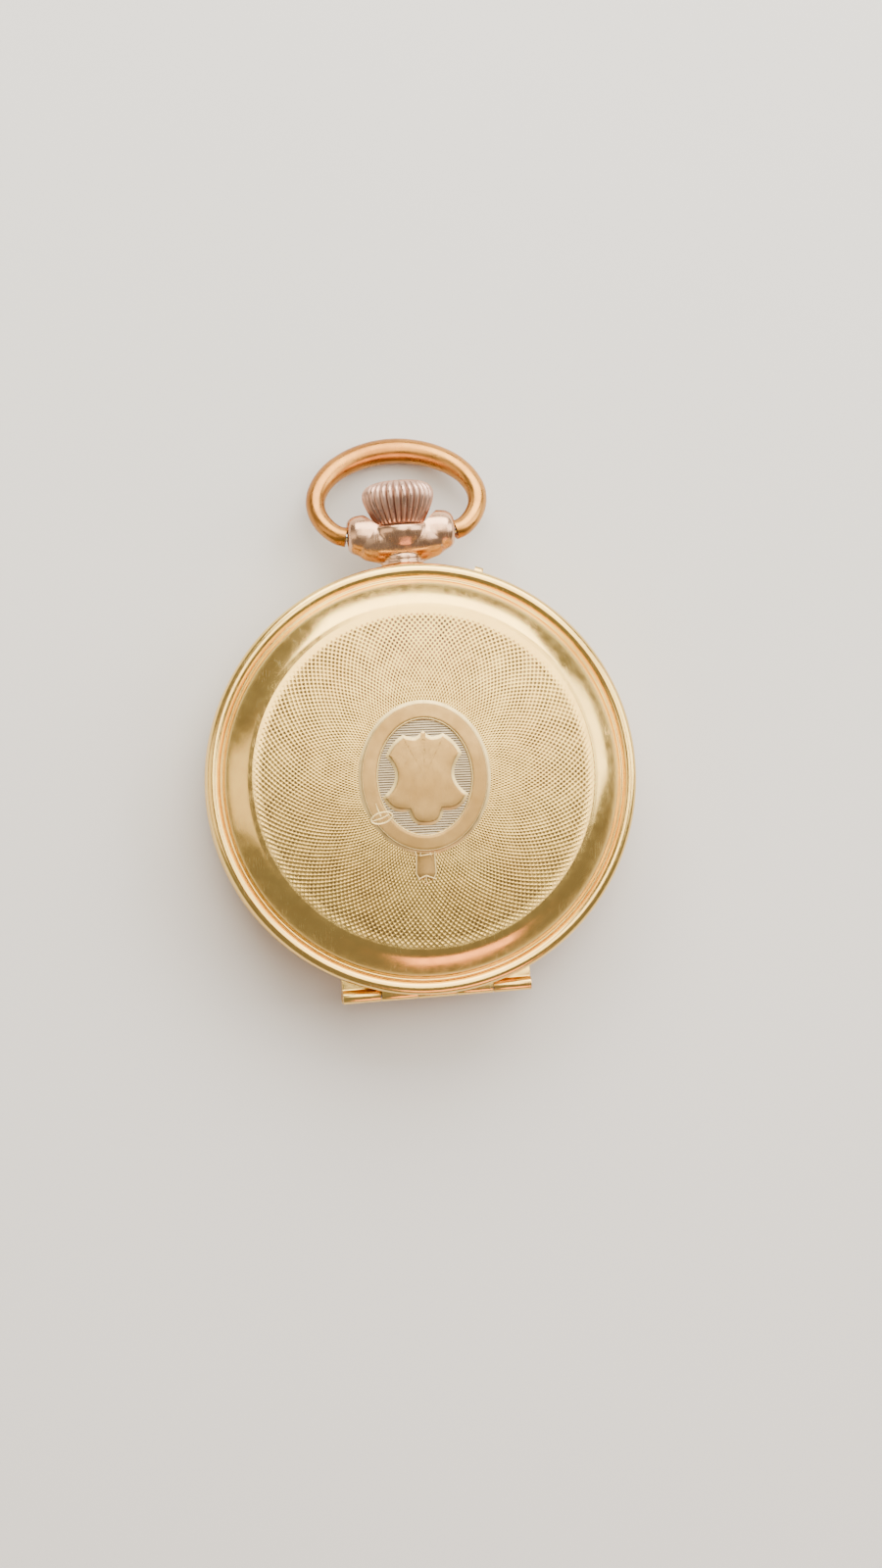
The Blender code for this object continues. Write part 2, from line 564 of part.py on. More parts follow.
lock = arc_strip(SPRING_IN_R, SPRING_OUT_R, 36, 88, SPRING_Z0, SPRING_Z1, 12)
lock = union(lock, block(1.0, 2.8, SPRING_R - 0.05, SPRING_OUT_R + 0.1, MID_Z + 0.3, BAND_Z1 + 0.9),
             block(1.0, 2.8, SPRING_R - 0.05, SPRING_OUT_R + 0.4, BAND_Z1 + 0.35, BAND_Z1 + 0.9))
lock = cut(lock, foot_hole(LOCK_SCREW_AT))
finish(lock, "lock_spring", "blued_steel", (*polar(SPRING_R, LOCK_SCREW_AT), MID_Z))
fly = arc_strip(SPRING_IN_R, SPRING_OUT_R, 196, 252, SPRING_Z0, SPRING_Z1, 12)
fly = cut(fly, foot_hole(FLY_SCREW_AT))
finish(fly, "fly_spring", "blued_steel")


def screw(at, z_head, head_t, head_r, shaft_r, z_tip, slot_along=0.0, steps=16):
    """A slotted screw driven up from below: z_head is the underside of its head."""
    up = 1 if z_tip > z_head else -1
    obj = post(head_r, at, min(z_head, z_head - up * head_t), max(z_head, z_head - up * head_t), steps)
    obj = union(obj, post(shaft_r, at, min(z_head - up * head_t / 2, z_tip), max(z_head - up * head_t / 2, z_tip),
                          10))
    c, s = math.cos(slot_along), math.sin(slot_along)
    w, length = head_r * 0.13, head_r * 1.3
    outline = [(at[0] + c * u - s * v, at[1] + s * u + c * v)
               for u, v in ((-length, -w), (length, -w), (length, w), (-length, w))]
    z_face = z_head - up * head_t
    return cut(obj, plate([outline], min(z_face - up * 0.2, z_face + up * head_t * 0.45),
                          max(z_face - up * 0.2, z_face + up * head_t * 0.45)))


for name, degrees in (("lock_spring_screw", LOCK_SCREW_AT), ("fly_spring_screw", FLY_SCREW_AT)):
    ends = [(*polar(r, degrees), MID_Z)
            for r in (SPRING_IN_R - 0.8, SPRING_IN_R - 0.05, SPRING_IN_R - 0.3, BAND_R - BAND_WALL - 0.15)]
    finish(union(rod(0.8, ends[0], ends[1], 12), rod(0.4, ends[2], ends[3], 10)), name, "steel")

CASE_SCREWS = {"case_screw_a": polar(19.5, 62), "case_screw_b": polar(19.5, 228)}
for name, at in CASE_SCREWS.items():
    finish(screw(at, BAND_Z0 - SEAT, 0.35, 1.0, 0.45, PLATE_Z0 + 1.1, 0.6), name, "steel", (*at, BAND_Z0))

# ---------------------------------------------------------------- dial and hands
FEET = [polar(17.5, a) for a in (20, 165, 280)]
dial = plate([ring_points(DIAL_R, 40), ring_points(1.1, 12)[::-1],
              ring_points(0.45, 10, FOURTH_AT)[::-1]], DIAL_Z, DIAL_Z + DIAL_T)
dial = cut(dial, turned([(0, 1), (4.2, 1), (4.2, -0.12), (0, -0.12)], 24, at=FOURTH_AT, z=DIAL_Z + DIAL_T))
for at in FEET:
    dial = union(dial, post(0.5, at, PLATE_Z1 + SEAT, DIAL_Z + 0.1, 10))
finish(dial, "dial", "enamel")

HAND_Z = DIAL_Z + DIAL_T


def hand(length, tail, boss_r, width, spade, angle, z0, t):
    """A spade hand pointing `angle` clockwise from twelve, which is at -X."""
    s = spade
    half = [(-tail, width * 0.9), (0, width * 0.7), (length * 0.62, width * 0.45), (length * 0.66, s * 0.55),
            (length * 0.72, s), (length * 0.79, s * 0.75), (length * 0.85, width * 0.3), (length, 0.05)]
    outline = [(u, v) for u, v in half] + [(u, -v) for u, v in reversed(half)]
    a = math.pi - angle
    c, sn = math.cos(a), math.sin(a)
    return union(plate([[(c * u - sn * v, sn * u + c * v) for u, v in outline]], z0, z0 + t),
                 post(boss_r, (0, 0), z0, z0 + t, 16))


CANNON_R = 0.6
HOUR_PIPE_R = 0.9
hour = hand(10.5, 1.6, 1.3, 0.35, 1.1, math.radians(305), HAND_Z + 0.35, 0.16)
hour = cut(hour, post(HOUR_PIPE_R - 0.02, (0, 0), HAND_Z, HAND_Z + 1, 16))
finish(hour, "hour_hand", "blued_steel")
minute = hand(16.2, 2.6, 1.0, 0.28, 0.75, math.radians(60), HAND_Z + 0.75, 0.14)
minute = cut(minute, post(CANNON_R - 0.1, (0, 0), HAND_Z, HAND_Z + 2, 16))
finish(minute, "minute_hand", "blued_steel")
seconds = union(plate([[(-1.4, -0.12), (3.4, -0.04), (3.4, 0.04), (-1.4, 0.12)]], HAND_Z + 0.05, HAND_Z + 0.15,
                      FOURTH_AT), post(0.4, FOURTH_AT, HAND_Z + 0.05, HAND_Z + 0.15, 12))
seconds = cut(seconds, post(PIVOT_R + 0.01, FOURTH_AT, HAND_Z - 1, HAND_Z + 1, 8))
finish(seconds, "seconds_hand", "blued_steel", (*FOURTH_AT, HAND_Z))

# ---------------------------------------------------------------- motion work, under the dial
cannon = plate([teeth_outline(CANNON_LEAVES, CANNON_MOD, math.pi / 2, tip=0.2, root=0.5)],
               PLATE_Z1 + 0.08, PLATE_Z1 + 0.35)
cannon = union(cannon, post(CANNON_R, (0, 0), PLATE_Z1 + 0.08, HAND_Z + 0.7, 16),
               post(CANNON_R - 0.12, (0, 0), HAND_Z + 0.6, HAND_Z + 0.95, 16))
cannon = cut(cannon, post(ARBOR_R + 0.02, (0, 0), PLATE_Z1 - 0.5, HAND_Z + 0.5, 10))
finish(cannon, "cannon_pinion", "steel")
minute_phase = mesh_phase(math.pi / 2, CANNON_LEAVES, MINUTE_TEETH, direction((0, 0), MINUTE_AT))
minute_wheel = plate([teeth_outline(MINUTE_TEETH, CANNON_MOD, minute_phase)], PLATE_Z1 + 0.12, PLATE_Z1 + 0.3,
                     MINUTE_AT)
HOUR_MOD = 2 * MINUTE_DIST / (MINUTE_LEAVES + HOUR_TEETH)
minute_wheel = union(minute_wheel, plate([teeth_outline(MINUTE_LEAVES, HOUR_MOD, -math.pi / 2, tip=0.2, root=0.5)],
                                         PLATE_Z1 + 0.25, PLATE_Z1 + 0.7, MINUTE_AT))
minute_wheel = cut(minute_wheel, post(0.3, MINUTE_AT, PLATE_Z1 - 1, PLATE_Z1 + 2, 10))
finish(minute_wheel, "minute_wheel", "brass", (*MINUTE_AT, PLATE_Z1))
hour_phase = mesh_phase(-math.pi / 2, MINUTE_LEAVES, HOUR_TEETH, direction(MINUTE_AT, (0, 0)))
hour_wheel = union(plate([teeth_outline(HOUR_TEETH, HOUR_MOD, hour_phase)], PLATE_Z1 + 0.45, PLATE_Z1 + 0.62),
                   post(HOUR_PIPE_R, (0, 0), PLATE_Z1 + 0.45, HAND_Z + 0.3, 16),
                   post(HOUR_PIPE_R - 0.08, (0, 0), HAND_Z + 0.2, HAND_Z + 0.52, 16))
hour_wheel = cut(hour_wheel, post(CANNON_R + GAP, (0, 0), PLATE_Z1, HAND_Z + 1, 16))
finish(hour_wheel, "hour_wheel", "brass")
setting_phase = mesh_phase(minute_phase, MINUTE_TEETH, SETTING_TEETH, direction(MINUTE_AT, SETTING_AT))
setting = plate([teeth_outline(SETTING_TEETH, CANNON_MOD, setting_phase), ring_points(0.45, 10)[::-1]],
                PLATE_Z1 + 0.12, PLATE_Z1 + 0.32, SETTING_AT)
finish(setting, "setting_wheel", "steel", (*SETTING_AT, PLATE_Z1))

LEVER_AT = (3.6, 18.55)
lever = plate([capsule(LEVER_AT, (0.0, 19.45), 0.65, 0.22)], PLATE_Z1 + 0.15, PLATE_Z1 + 0.45)
lever = union(lever, post(0.12, (0.0, 19.45), MID_Z + 0.4, PLATE_Z1 + 0.3, 8),
              post(0.35, LEVER_AT, PLATE_Z1 - 0.6, PLATE_Z1 + 0.3, 10))
finish(lever, "setting_lever", "steel", (*LEVER_AT, PLATE_Z1))
YOKE_AT = (5.2, 16.5)
CLUTCH_GROOVE_Y = 17.1
yoke = union(plate([capsule(YOKE_AT, (0.9, CLUTCH_GROOVE_Y), 0.6, 0.14)], PLATE_Z1 + 0.1, PLATE_Z1 + 0.35),
             post(0.3, YOKE_AT, PLATE_Z1 - 0.6, PLATE_Z1 + 0.2, 10))
finish(yoke, "yoke", "steel", (*YOKE_AT, PLATE_Z1))

# ---------------------------------------------------------------- main plate
plate_holes = [ring_points(CANNON_R + 0.15, 14)[::-1]]
for at, r in ((FOURTH_AT, PIVOT_R + GAP), (THIRD_AT, PIVOT_R + GAP), (ESCAPE_AT, PIVOT_R + GAP),
              (PALLET_AT, PIVOT_R + GAP), (BALANCE_AT, PIVOT_R + GAP), (BARREL_AT, 0.75 + GAP)):
    plate_holes.append(ring_points(r, 8, at)[::-1])
main = plate([ring_points(PLATE_R, 40)] + plate_holes, PLATE_Z0, PLATE_Z1)
BARREL_TIP = BARREL_MOD * (BARREL_TEETH / 2 + 0.85)
main = cut(main, post(BARREL_TIP + 0.2, BARREL_AT, PLATE_Z0 - 1, PLATE_Z1 - 0.4, 28),
           block(-1.75, 1.75, 15.7, 21.0, PLATE_Z0 - 1, PLATE_Z1 + 1),
           block(-0.75, 0.75, 14.2, 16.0, MID_Z - 0.75, PLATE_Z1 + 1),
           post(0.62, CROWN_WHEEL_AT, PLATE_Z0 - 1, PLATE_Z0 + 0.2, 10),
           post(0.35 + GAP, LEVER_AT, PLATE_Z1 - 0.7, PLATE_Z1 + 1, 10),
           post(0.3 + GAP, YOKE_AT, PLATE_Z1 - 0.7, PLATE_Z1 + 1, 10),
           *[post(0.45 + 0.02, at, PLATE_Z0 - 1, PLATE_Z0 + 1.15, 10) for at in CASE_SCREWS.values()])
finish(main, "main_plate", "nickel")

# ---------------------------------------------------------------- bridges and cocks
rim = BRIDGE_R
barrel_outline = ring_points(rim, 22, start=math.radians(66), sweep=math.radians(139)) + [
    (-3.0, -3.6), (1.4, -2.0), (2.2, 1.2), (5.2, 8.0)]
CROWN_HOLE_R = 3.75
barrel_bridge = plate([barrel_outline, ring_points(CROWN_HOLE_R, 24, CROWN_WHEEL_AT)[::-1],
                       ring_points(PIVOT_R + GAP, 8)[::-1], ring_points(0.9 + GAP, 12, BARREL_AT)[::-1]],
                      BRIDGE_Z0, BRIDGE_Z1)
barrel_bridge = union(barrel_bridge, arc_strip(17.0, rim, 118, 203, BRIDGE_Z1 - 0.1, PLATE_Z0 - SEAT, 10))
CLICK_AT = (BARREL_AT[0] - 8.9, BARREL_AT[1] - 2.6)
BRIDGE_SCREWS = {"barrel_bridge_screw": polar(18.1, 128), "train_bridge_screw": polar(18.1, 2),
                 "balance_cock_screw": (-1.9, -15.4)}
for at in (BRIDGE_SCREWS["barrel_bridge_screw"], CLICK_AT):
    barrel_bridge = cut(barrel_bridge, post(0.47, at, BRIDGE_Z0 - 1, PLATE_Z0 + 1, 10))
finish(barrel_bridge, "barrel_bridge", "nickel")

BALANCE_CLEAR = 6.9
train_outline = ring_points(rim, 16, start=math.radians(-25), sweep=math.radians(83)) + [
    (6.6, 8.2), (3.0, 1.2), (2.3, -2.3), (3.4, -4.9)]
train_outline += ring_points(BALANCE_CLEAR, 8, BALANCE_AT, math.radians(118), math.radians(-103))
train_bridge = plate([train_outline] + [ring_points(PIVOT_R + GAP, 8, at)[::-1]
                                        for at in (THIRD_AT, FOURTH_AT, ESCAPE_AT)], BRIDGE_Z0, BRIDGE_Z1)
train_bridge = union(train_bridge, arc_strip(17.2, rim, -18, 50, BRIDGE_Z1 - 0.1, PLATE_Z0 - SEAT, 10))
train_bridge = cut(train_bridge, post(0.47, BRIDGE_SCREWS["train_bridge_screw"], BRIDGE_Z0 - 1, PLATE_Z0 + 1, 10))
finish(train_bridge, "train_bridge", "nickel")

COCK_FOOT = BRIDGE_SCREWS["balance_cock_screw"]
cock = plate([capsule(COCK_FOOT, BALANCE_AT, 2.6, 1.9)], BRIDGE_Z0, BRIDGE_Z1)
cock = union(cock, post(2.2, COCK_FOOT, BRIDGE_Z1 - 0.1, PLATE_Z0 - SEAT, 20))
cock = cut(cock, post(0.47, COCK_FOOT, BRIDGE_Z0 - 1, PLATE_Z0 + 1, 10),
           post(PIVOT_R + GAP, BALANCE_AT, BRIDGE_Z0 - 1, PLATE_Z0, 8))
finish(cock, "balance_cock", "nickel")
PALLET_FOOT = (PALLET_AT[0] + 4.5 * math.cos(math.radians(-30)), PALLET_AT[1] + 4.5 * math.sin(math.radians(-30)))
PALLET_Z0 = PLATE_Z0 - 0.9
pallet_cock = plate([capsule(PALLET_FOOT, PALLET_AT, 0.95, 0.7), ring_points(PIVOT_R + GAP, 8, PALLET_AT)[::-1]],
                    PALLET_Z0, PALLET_Z0 + 0.35)
pallet_cock = union(pallet_cock, post(0.9, PALLET_FOOT, PALLET_Z0 + 0.2, PLATE_Z0 - SEAT, 14))
finish(pallet_cock, "pallet_cock", "nickel")
for name, at in BRIDGE_SCREWS.items():
    finish(screw(at, BRIDGE_Z0 - SEAT, 0.35, 0.95, 0.42, PLATE_Z0 - 0.2, 0.3), name, "blued_steel", (*at, BRIDGE_Z0))
finish(turned([(0, -0.02), (0.75, -0.02), (0.75, -0.22), (0.5, -0.34), (0, -0.34)], 16, at=BALANCE_AT,
              z=BRIDGE_Z0), "cap_jewel", "ruby")
REG_Z = BRIDGE_Z0 - 0.02
regulator = union(plate([ring_points(1.35, 20, BALANCE_AT)], REG_Z - 0.25, REG_Z),
                  plate([capsule(BALANCE_AT, (BALANCE_AT[0] - 4.6, BALANCE_AT[1] + 1.6), 0.5, 0.14)], REG_Z - 0.25, REG_Z))
regulator = cut(regulator, post(0.85, BALANCE_AT, REG_Z - 1, REG_Z + 1, 16))
finish(regulator, "regulator", "steel", (*BALANCE_AT, REG_Z))

# ---------------------------------------------------------------- barrel, mainspring, winding wheels
BARREL_Z0, BARREL_Z1 = BRIDGE_Z1 + 0.55, PLATE_Z1 - 0.5
center_phase = 0.0
barrel_phase = mesh_phase(center_phase, CENTRE_LEAVES, BARREL_TEETH, direction((0, 0), BARREL_AT))
ARBOR_BIG = 1.2
barrel = plate([teeth_outline(BARREL_TEETH, BARREL_MOD, barrel_phase)], BARREL_Z0, BARREL_Z0 + 0.5, BARREL_AT)
barrel = union(barrel, post(BARREL_MOD * (BARREL_TEETH / 2 - 1.6) - 0.08, BARREL_AT, BARREL_Z0 + 0.4, BARREL_Z1, 28))
barrel = cut(barrel, post(6.2, BARREL_AT, BARREL_Z0 + 0.35, BARREL_Z1 + 1, 28),
             post(0.9 + GAP, BARREL_AT, BARREL_Z0 - 1, BARREL_Z0 + 1, 12))
finish(barrel, "mainspring_barrel", "brass", (*BARREL_AT, BARREL_Z0))
finish(plate([ring_points(6.15, 28, BARREL_AT), ring_points(0.75 + GAP, 12, BARREL_AT)[::-1]],
             BARREL_Z1 - 0.3, BARREL_Z1 - 0.02), "barrel_lid", "brass", (*BARREL_AT, BARREL_Z1))
spring = []
SPRING_TURNS, per = 5, 12
for side in (0.06, -0.06):
    arc = [(1.35 + side + (5.95 - 1.35) * i / (SPRING_TURNS * per), i * math.tau / per)
           for i in range(SPRING_TURNS * per + 1)]
    spring += [(r * math.cos(a), r * math.sin(a)) for r, a in (arc if side > 0 else reversed(arc))]
finish(plate([spring], BARREL_Z0 + 0.42, BARREL_Z1 - 0.38, BARREL_AT), "mainspring", "blued_steel",
       (*BARREL_AT, BARREL_Z0))
arbor = union(post(ARBOR_BIG, BARREL_AT, BARREL_Z0 + 0.42, BARREL_Z1 - 0.38, 16),
              post(0.9, BARREL_AT, BRIDGE_Z0 - 0.39, BARREL_Z0 + 0.5, 12),
              post(0.75, BARREL_AT, BARREL_Z1 - 0.6, PLATE_Z1 - 0.05, 12))
arbor = cut(arbor, post(0.42, BARREL_AT, BRIDGE_Z0 - 1, BRIDGE_Z0 + 0.7, 10))
finish(arbor, "barrel_arbor", "steel", (*BARREL_AT, BARREL_Z0))
WIND_Z1 = BRIDGE_Z0 - 0.05
WIND_Z0 = WIND_Z1 - 0.35
ratchet_dir = direction(CROWN_WHEEL_AT, BARREL_AT)
crown_phase = ratchet_dir
ratchet_phase = mesh_phase(crown_phase, CROWN_WHEEL_TEETH, RATCHET_TEETH, ratchet_dir)
ratchet = plate([teeth_outline(RATCHET_TEETH, RATCHET_MOD, ratchet_phase), ring_points(0.92, 12)[::-1]],
                WIND_Z0, WIND_Z1, BARREL_AT)
finish(ratchet, "ratchet_wheel", "steel", (*BARREL_AT, WIND_Z0))
finish(screw(BARREL_AT, WIND_Z0 - 0.03, 0.3, 1.5, 0.38, BRIDGE_Z0 + 0.6, 1.0, 20), "ratchet_screw", "steel",
       (*BARREL_AT, WIND_Z0))

CONTRATE_Z = MID_Z - PINION_R + 0.1
crown_wheel = plate([teeth_outline(CROWN_WHEEL_TEETH, RATCHET_MOD, crown_phase)], WIND_Z0, WIND_Z1, CROWN_WHEEL_AT)
crown_wheel = union(crown_wheel, post(CONTRATE_R + 0.32, CROWN_WHEEL_AT, WIND_Z1 - 0.1, CONTRATE_Z - 0.45, 20))
contrate = []
for i in range(CROWN_WHEEL_TEETH):
    a = math.tau * (i + 0.5) / CROWN_WHEEL_TEETH + math.pi / 2
    half = math.tau / CROWN_WHEEL_TEETH * 0.19
    c_in, c_out, narrow = CONTRATE_R - 0.27, CONTRATE_R + 0.27, 0.6
    mesh = bpy.data.meshes.new("tooth")
    z_low, z_high = CONTRATE_Z - 0.5, CONTRATE_Z
    low = [(c_in, -half), (c_out, -half), (c_out, half), (c_in, half)]
    verts = [(r * math.cos(a + h), r * math.sin(a + h), z_low) for r, h in low]
    verts += [(r * math.cos(a + h * narrow), r * math.sin(a + h * narrow), z_high) for r, h in low]
    mesh.from_pydata(verts, [], [(3, 2, 1, 0), (4, 5, 6, 7), (0, 1, 5, 4), (1, 2, 6, 5), (2, 3, 7, 6), (3, 0, 4, 7)])
    mesh.transform(Matrix.Translation((*CROWN_WHEEL_AT, 0)))
    contrate.append(link(mesh))
teeth = contrate[0]
bm = bmesh.new()
for piece in contrate:
    bm.from_mesh(piece.data)
bm.to_mesh(teeth.data)
bm.free()
for piece in contrate[1:]:
    drop(piece)
crown_wheel = union(crown_wheel, teeth)
crown_wheel = cut(crown_wheel, post(CONTRATE_R - 0.75, CROWN_WHEEL_AT, WIND_Z1 + 0.6, CONTRATE_Z + 1, 16),
                  post(0.58 + GAP, CROWN_WHEEL_AT, WIND_Z0 - 1, CONTRATE_Z + 1, 12))
finish(crown_wheel, "crown_wheel", "steel", (*CROWN_WHEEL_AT, WIND_Z0))
finish(screw(CROWN_WHEEL_AT, WIND_Z0 - 0.03, 0.3, 1.5, 0.58, PLATE_Z0 + 0.15, 0.2, 20), "crown_wheel_screw", "steel",
       (*CROWN_WHEEL_AT, WIND_Z0))

beak_dir = direction(BARREL_AT, CLICK_AT)
beak_r = RATCHET_MOD * (RATCHET_TEETH / 2 + 0.85) + 0.08
beak = (BARREL_AT[0] + beak_r * math.cos(beak_dir + 0.28), BARREL_AT[1] + beak_r * math.sin(beak_dir + 0.28))
click = plate([capsule(CLICK_AT, beak, 0.85, 0.06, 6)], WIND_Z0, WIND_Z1)
click = cut(click, post(0.42, CLICK_AT, WIND_Z0 - 1, WIND_Z1 + 1, 12))
finish(click, "click", "steel", (*CLICK_AT, WIND_Z0))
finish(screw(CLICK_AT, WIND_Z0 - 0.03, 0.25, 0.65, 0.38, BRIDGE_Z0 + 0.8, 0.9, 14), "click_screw", "blued_steel",
       (*CLICK_AT, WIND_Z0))
CLICK_SPRING_R = math.hypot(*CLICK_AT) + 1.15
spring_deg = math.degrees(math.atan2(CLICK_AT[1], CLICK_AT[0]))
click_spring = arc_strip(CLICK_SPRING_R, CLICK_SPRING_R + 0.22, spring_deg - 6, spring_deg + 34, WIND_Z0, WIND_Z1, 8)
finish(click_spring, "click_spring", "blued_steel")

winding_teeth = plate([teeth_outline(PINION_TEETH, 2 * PINION_R / PINION_TEETH, -math.pi / 2, 0.35, 0.5, 0.2, 0.5)],
                      -0.3, 0.3)
winding = cut(winding_teeth, post(STEM_R + GAP, (0, 0), -1, 1, 12))
winding.data.transform(Matrix.Rotation(math.radians(90), 4, "X"))
winding.data.transform(Matrix.Translation((0, PINION_Y, MID_Z)))
finish(winding, "winding_pinion", "steel", (0, PINION_Y, MID_Z))
clutch = turned([(1.2, 17.85), (1.2, 17.4), (0.85, 17.4), (0.85, 16.8), (1.2, 16.8), (1.2, 16.4),
                 (STEM_R + GAP, 16.4), (STEM_R + GAP, 17.85)], 16, at=(0, MID_Z), axis="Y")
finish(clutch, "clutch_wheel", "steel", (0, CLUTCH_GROOVE_Y, MID_Z))

# ---------------------------------------------------------------- going train
CENTRE_Z = BRIDGE_Z1 + 0.1
center = plate([teeth_outline(CENTRE_TEETH, CENTRE_MOD, 0.0)] + [w[::-1] for w in windows(1.5, 4.7, 4, 0.6)],
               CENTRE_Z, CENTRE_Z + WHEEL_T)
center_leaves = plate([teeth_outline(CENTRE_LEAVES, BARREL_MOD, center_phase, 0.85, 1.15, 0.2, 0.42)],
                      BARREL_Z0 - 0.1, BARREL_Z0 + 0.7)
center = union(center, post(0.62, (0, 0), CENTRE_Z + 0.05, BARREL_Z0 + 0.1, 12), center_leaves,
               post(ARBOR_R, (0, 0), BARREL_Z0 + 0.5, HAND_Z + 0.4, 10),
               post(PIVOT_R, (0, 0), BRIDGE_Z0 + 0.2, CENTRE_Z + 0.1, 8))
finish(center, "center_wheel", "brass")

THIRD_Z = BRIDGE_Z1 + 1.35
third_dir = direction((0, 0), THIRD_AT)
third_pinion_phase = mesh_phase(0.0, CENTRE_TEETH, TRAIN_LEAVES, third_dir)
third = plate([teeth_outline(THIRD_TEETH, THIRD_MOD, 0.0)] + [w[::-1] for w in windows(1.3, 4.1, 4, 0.55)],
              THIRD_Z, THIRD_Z + WHEEL_T, THIRD_AT)
third = union(third, plate([teeth_outline(TRAIN_LEAVES, CENTRE_MOD, third_pinion_phase, 0.85, 1.15, 0.2, 0.42)],
                           CENTRE_Z - 0.05, CENTRE_Z + 0.38, THIRD_AT),
              post(ARBOR_R, THIRD_AT, CENTRE_Z + 0.2, THIRD_Z + 0.5, 10),
              post(PIVOT_R, THIRD_AT, BRIDGE_Z0 + 0.3, CENTRE_Z + 0.1, 8),
              post(PIVOT_R, THIRD_AT, THIRD_Z + 0.4, PLATE_Z0 + 0.8, 8))
finish(third, "third_wheel", "brass", (*THIRD_AT, THIRD_Z))

FOURTH_Z = BRIDGE_Z1 + 0.7
fourth_pinion_phase = mesh_phase(0.0, THIRD_TEETH, TRAIN_LEAVES, direction(THIRD_AT, FOURTH_AT))
fourth = plate([teeth_outline(FOURTH_TEETH, FOURTH_MOD, 0.0)] + [w[::-1] for w in windows(1.2, 3.7, 4, 0.5)],
               FOURTH_Z, FOURTH_Z + WHEEL_T, FOURTH_AT)
fourth = union(fourth, plate([teeth_outline(TRAIN_LEAVES, THIRD_MOD, fourth_pinion_phase, 0.85, 1.15, 0.2, 0.42)],
                             THIRD_Z - 0.15, THIRD_Z + 0.38, FOURTH_AT),
               post(ARBOR_R, FOURTH_AT, FOURTH_Z - 0.2, THIRD_Z + 0.1, 10),
               post(PIVOT_R, FOURTH_AT, BRIDGE_Z0 + 0.3, FOURTH_Z - 0.1, 8),
               post(PIVOT_R, FOURTH_AT, THIRD_Z + 0.3, HAND_Z + 0.14, 8))
finish(fourth, "fourth_wheel", "brass", (*FOURTH_AT, FOURTH_Z))

ESCAPE_Z = PLATE_Z0 - 0.42
escape_phase = mesh_phase(0.0, FOURTH_TEETH, ESCAPE_LEAVES, ESCAPE_DIR)
club = []
for i in range(ESCAPE_TEETH):
    a = math.tau * i / ESCAPE_TEETH
    for r, da in ((ESCAPE_R - 0.85, 0.10), (ESCAPE_R, -0.055), (ESCAPE_R - 0.08, -0.11), (ESCAPE_R - 0.85, -0.06)):
        club.append((r * math.cos(a - da), r * math.sin(a - da)))
escape = plate([club] , ESCAPE_Z, ESCAPE_Z + 0.2, ESCAPE_AT)
escape = union(escape, plate([teeth_outline(ESCAPE_LEAVES, FOURTH_MOD, escape_phase, 0.85, 1.15, 0.2, 0.4)],
                             FOURTH_Z - 0.12, FOURTH_Z + 0.38, ESCAPE_AT),
               post(0.22, ESCAPE_AT, FOURTH_Z + 0.25, ESCAPE_Z + 0.32, 8),
               post(PIVOT_R, ESCAPE_AT, BRIDGE_Z0 + 0.3, FOURTH_Z, 8),
               post(PIVOT_R, ESCAPE_AT, ESCAPE_Z + 0.25, PLATE_Z0 + 0.8, 8))
finish(escape, "escape_wheel", "steel", (*ESCAPE_AT, ESCAPE_Z))


def at_polar(centre, r, a):
    return (centre[0] + r * math.cos(a), centre[1] + r * math.sin(a))


FORK_Z = ESCAPE_Z


def fork_point(u, v):
    """u runs from the pallet arbor towards the balance, v to its left."""
    c, n = math.cos(FORK_DIR), math.sin(FORK_DIR)
    return (PALLET_AT[0] + c * u - n * v, PALLET_AT[1] + n * u + c * v)


def stone_point(r, degrees):
    return at_polar(ESCAPE_AT, r, PALLET_DIR + math.radians(degrees))


fork = plate([[fork_point(2.5, 0.2), fork_point(0.45, 0.3), stone_point(ESCAPE_R + 0.75, 27),
               stone_point(ESCAPE_R + 0.75, 34), stone_point(ESCAPE_R + 0.12, 32), stone_point(ESCAPE_R + 0.12, 27),
               fork_point(-0.5, 0.1), stone_point(ESCAPE_R + 0.12, -27), stone_point(ESCAPE_R + 0.12, -32),
               stone_point(ESCAPE_R + 0.75, -34), stone_point(ESCAPE_R + 0.75, -27), fork_point(0.45, -0.3),
               fork_point(2.5, -0.2), fork_point(2.75, -0.55), fork_point(3.45, -0.5), fork_point(3.5, -0.28),
               fork_point(2.95, -0.25), fork_point(2.95, 0.25), fork_point(3.5, 0.28), fork_point(3.45, 0.5),
               fork_point(2.75, 0.55)]], FORK_Z, FORK_Z + 0.2)
fork = union(fork, post(0.2, PALLET_AT, FORK_Z - 0.25, FORK_Z + 0.33, 6),
             post(PIVOT_R, PALLET_AT, PALLET_Z0 + 0.05, FORK_Z - 0.1, 8),
             post(PIVOT_R, PALLET_AT, FORK_Z + 0.2, PLATE_Z0 + 0.6, 8))
finish(fork, "pallet_fork", "steel", (*PALLET_AT, FORK_Z))

